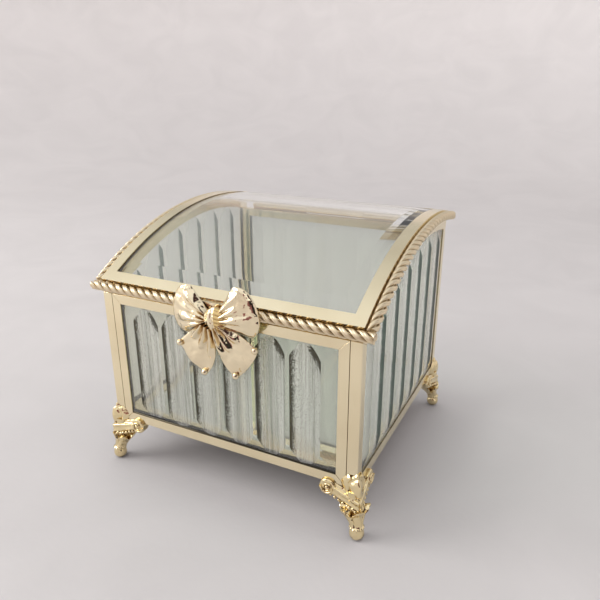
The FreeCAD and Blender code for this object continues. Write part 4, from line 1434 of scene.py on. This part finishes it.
@dataclass
class Studio:
    """The pale sweep, the soft lights and the camera."""

    floor_radius: float = 0.55
    sweep_radius: float = 0.55
    floor_colour: Colour = (0.70, 0.665, 0.65)
    floor_relief: float = 2.0
    grain_scale: float = 420.0
    crease_scale: float = 14.0
    painted_light_height: float = 0.25
    backdrop_painted_light: float = 1.24
    sky_strength: float = 1.06
    sky_back: float = 0.6
    sky_low: Colour = (0.80, 0.77, 0.76)
    sky_high: Colour = (0.96, 0.97, 1.0)
    dark_corner: Place = (0.72, -0.36, 0.6)
    dark_edge: tuple[float, float] = (0.86, 0.93)
    dark_colour: Colour = (0.05, 0.025, 0.028)
    key_place: Place = (-0.80, -0.42, 0.52)
    key_size: float = 0.55
    key_watts: float = 4.8
    fill_place: Place = (0.55, -0.65, 0.45)
    fill_size: float = 0.5
    fill_watts: float = 0.9
    fill_colour: Colour = (1.0, 0.97, 0.94)
    aim_height: float = 0.045
    flag_place: Place = (0.21, -0.34, 0.15)
    flag_width: float = 0.42
    flag_height: float = 0.29
    flag_colour: Colour = (0.015, 0.012, 0.012)
    flag_warm: Colour = (0.30, 0.14, 0.15)
    warm_share: float = 0.2
    camera_from_case: Place = (105.07, -196.75, 143.54)
    camera_turn: Place = (69.533, 0.06, 26.708)
    lens: float = 35.04
    sensor: float = 36.0

    def case_middle(self) -> Vector:
        """Returns the middle of the case's footprint on the table, in millimetres."""
        front_low, _ = box_mm("front_bottom_rail")
        _, back_high = box_mm("back_bottom_rail")
        return Vector(((front_low.x + back_high.x) / 2, (front_low.y + back_high.y) / 2, 0))

    def floor(self) -> None:
        """Makes a round floor whose rim sweeps up on every side."""
        bm = bmesh.new()
        middle = bm.verts.new((0, 0, 0))
        edge = bm.verts.new((self.floor_radius, 0, 0))
        bm.edges.new((middle, edge))
        bmesh.ops.spin(bm, geom=[edge], cent=(self.floor_radius, 0, self.sweep_radius), axis=(0, -1, 0),
                       angle=math.radians(90), steps=24)
        bmesh.ops.spin(bm, geom=everything(bm), cent=(0, 0, 0), axis=(0, 0, 1), angle=2 * math.pi,
                       steps=128, use_merge=True)
        bmesh.ops.remove_doubles(bm, verts=bm.verts, dist=1e-5)
        bmesh.ops.recalc_face_normals(bm, faces=bm.faces)
        smooth(bm)
        mesh = new_mesh("sweep", bm)
        material, nodes = new_material("pale_sweep")
        place = nodes.place()
        grain = nodes.noise(place, self.grain_scale, 4.0)
        crease = nodes.noise(place, self.crease_scale, 4.0, Distortion=1.2)
        tone = nodes.remap(crease, 0.3, 0.7, 0.97, 1.03)
        # Painted light: the sweep's colour grows paler as it rises towards the backdrop.
        painted_light = nodes.remap(nodes.axis(place, "Z"), 0.0, self.painted_light_height, 1.0, self.backdrop_painted_light)
        shade = nodes.math("MULTIPLY", tone, painted_light)
        colour = nodes.add("ShaderNodeVectorMath", {0: self.floor_colour, "Scale": shade}, operation="SCALE")
        relief = nodes.math("ADD", nodes.math("MULTIPLY", grain, 0.25), crease)
        normal = nodes.bump(relief, 0.12, self.floor_relief)
        nodes.finish(nodes.add("ShaderNodeBsdfPrincipled", {"Base Color": colour.outputs[0], "Normal": normal,
                                                            "Roughness": 0.62, "Specular IOR Level": 0.3}))
        mesh.materials.append(material)
        sweep = new_object("sweep", mesh)

    def softbox(self, name: str, place: Place, size: float, watts: float,
                colour: Colour = (1.0, 1.0, 1.0)) -> None:
        """Adds a square soft light that faces the box.

        Args:
            name: The light's name.
            place: Where it stands, in metres.
            size: The length of its sides, in metres.
            watts: Its power.
            colour: Its colour.
        """
        data = bpy.data.lights.new(name, "AREA")
        data.energy = watts
        data.size = size
        data.color = colour
        lamp = new_object(name, data)
        lamp.location = place
        aim = Vector((0, 0, self.aim_height)) - Vector(place)
        lamp.rotation_euler = aim.to_track_quat("-Z", "Y").to_euler()
        lamp.visible_camera = False

    def light(self) -> None:
        """Sets the sky and the soft lights."""
        world = bpy.data.worlds.new("soft_sky")
        bpy.context.scene.world = world
        world.use_nodes = True
        nodes = NodeTree(world.node_tree)
        direction = nodes.add("ShaderNodeTexCoord").outputs["Generated"]
        tone = nodes.remap(nodes.axis(direction, "Z"), -0.1, 0.9)
        strength = nodes.remap(nodes.axis(direction, "Y"), -0.1, 0.6, self.sky_strength,
                               self.sky_strength * self.sky_back)
        pale = nodes.mix(tone, (*self.sky_low, 1.0), (*self.sky_high, 1.0))
        corner = Vector(self.dark_corner).normalized()
        nearness = nodes.add("ShaderNodeVectorMath", {0: direction, 1: corner}, operation="DOT_PRODUCT")
        dusk = nodes.remap(nearness.outputs["Value"], *self.dark_edge)
        colour = nodes.mix(dusk, pale, (*self.dark_colour, 1.0))
        sky = nodes.add("ShaderNodeBackground", {"Color": colour, "Strength": strength})
        nodes.add("ShaderNodeOutputWorld", {"Surface": sky.outputs[0]})
        self.softbox("key", self.key_place, self.key_size, self.key_watts)
        self.softbox("fill", self.fill_place, self.fill_size, self.fill_watts, self.fill_colour)

    def flag(self) -> None:
        """Stands a dark card behind the camera, which only shiny surfaces see."""
        bm = bmesh.new()
        bmesh.ops.create_grid(bm, x_segments=1, y_segments=1, size=0.5)
        bmesh.ops.scale(bm, vec=(self.flag_width, self.flag_height, 1), verts=bm.verts)
        place = Vector(self.flag_place)
        aim = Vector((0, 0, place.z)) - place
        turn = aim.to_track_quat("Z", "Y").to_matrix().to_4x4()
        bmesh.ops.transform(bm, matrix=Matrix.Translation(place) @ turn, verts=bm.verts)
        mesh = new_mesh("flag", bm)
        material, nodes = new_material("dark_card")
        side = nodes.axis(nodes.place(), "X")
        warm = nodes.remap(side, place.x - self.warm_share * self.flag_width, place.x, 1.0, 0.0)
        colour = nodes.mix(warm, (*self.flag_colour, 1.0), (*self.flag_warm, 1.0))
        nodes.finish(nodes.add("ShaderNodeBsdfPrincipled", {"Base Color": colour, "Roughness": 0.9,
                                                            "Specular IOR Level": 0.0}))
        mesh.materials.append(material)
        flag = new_object("flag", mesh)
        for kind in ("camera", "diffuse", "shadow", "transmission"):
            setattr(flag, "visible_" + kind, False)

    def camera(self) -> None:
        """Sets the camera at the photograph's viewing angle."""
        data = bpy.data.cameras.new("photograph_view")
        data.lens = self.lens
        data.sensor_width = self.sensor
        data.clip_start = 0.01
        camera = new_object("photograph_view", data)
        camera.location = (self.case_middle() + Vector(self.camera_from_case)) * MM
        camera.rotation_euler = [math.radians(turn) for turn in self.camera_turn]
        bpy.context.scene.camera = camera

    def build(self) -> None:
        """Builds the whole studio and lets light pass through many layers of glass."""
        self.floor()
        self.light()
        self.flag()
        self.camera()
        scene = bpy.context.scene
        scene.view_settings.view_transform = "Standard"
        scene.cycles.max_bounces = 24
        scene.cycles.transmission_bounces = 20
        scene.cycles.glossy_bounces = 8
        scene.cycles.transparent_max_bounces = 20
        scene.cycles.caustics_reflective = False
        scene.cycles.caustics_refractive = False


def main() -> None:
    """Builds the box, piece by piece, and its studio."""
    logging.basicConfig(level=logging.INFO, format="%(name)s %(message)s")
    arch = LidArch()
    for assembly in (ChannelFrames(), CutGlass(), RopeTrim(arch), CastBow(arch), CastFeet(), TubeHinge(),
                     Studio()):
        assembly.build()


if __name__ == "__main__":
    main()
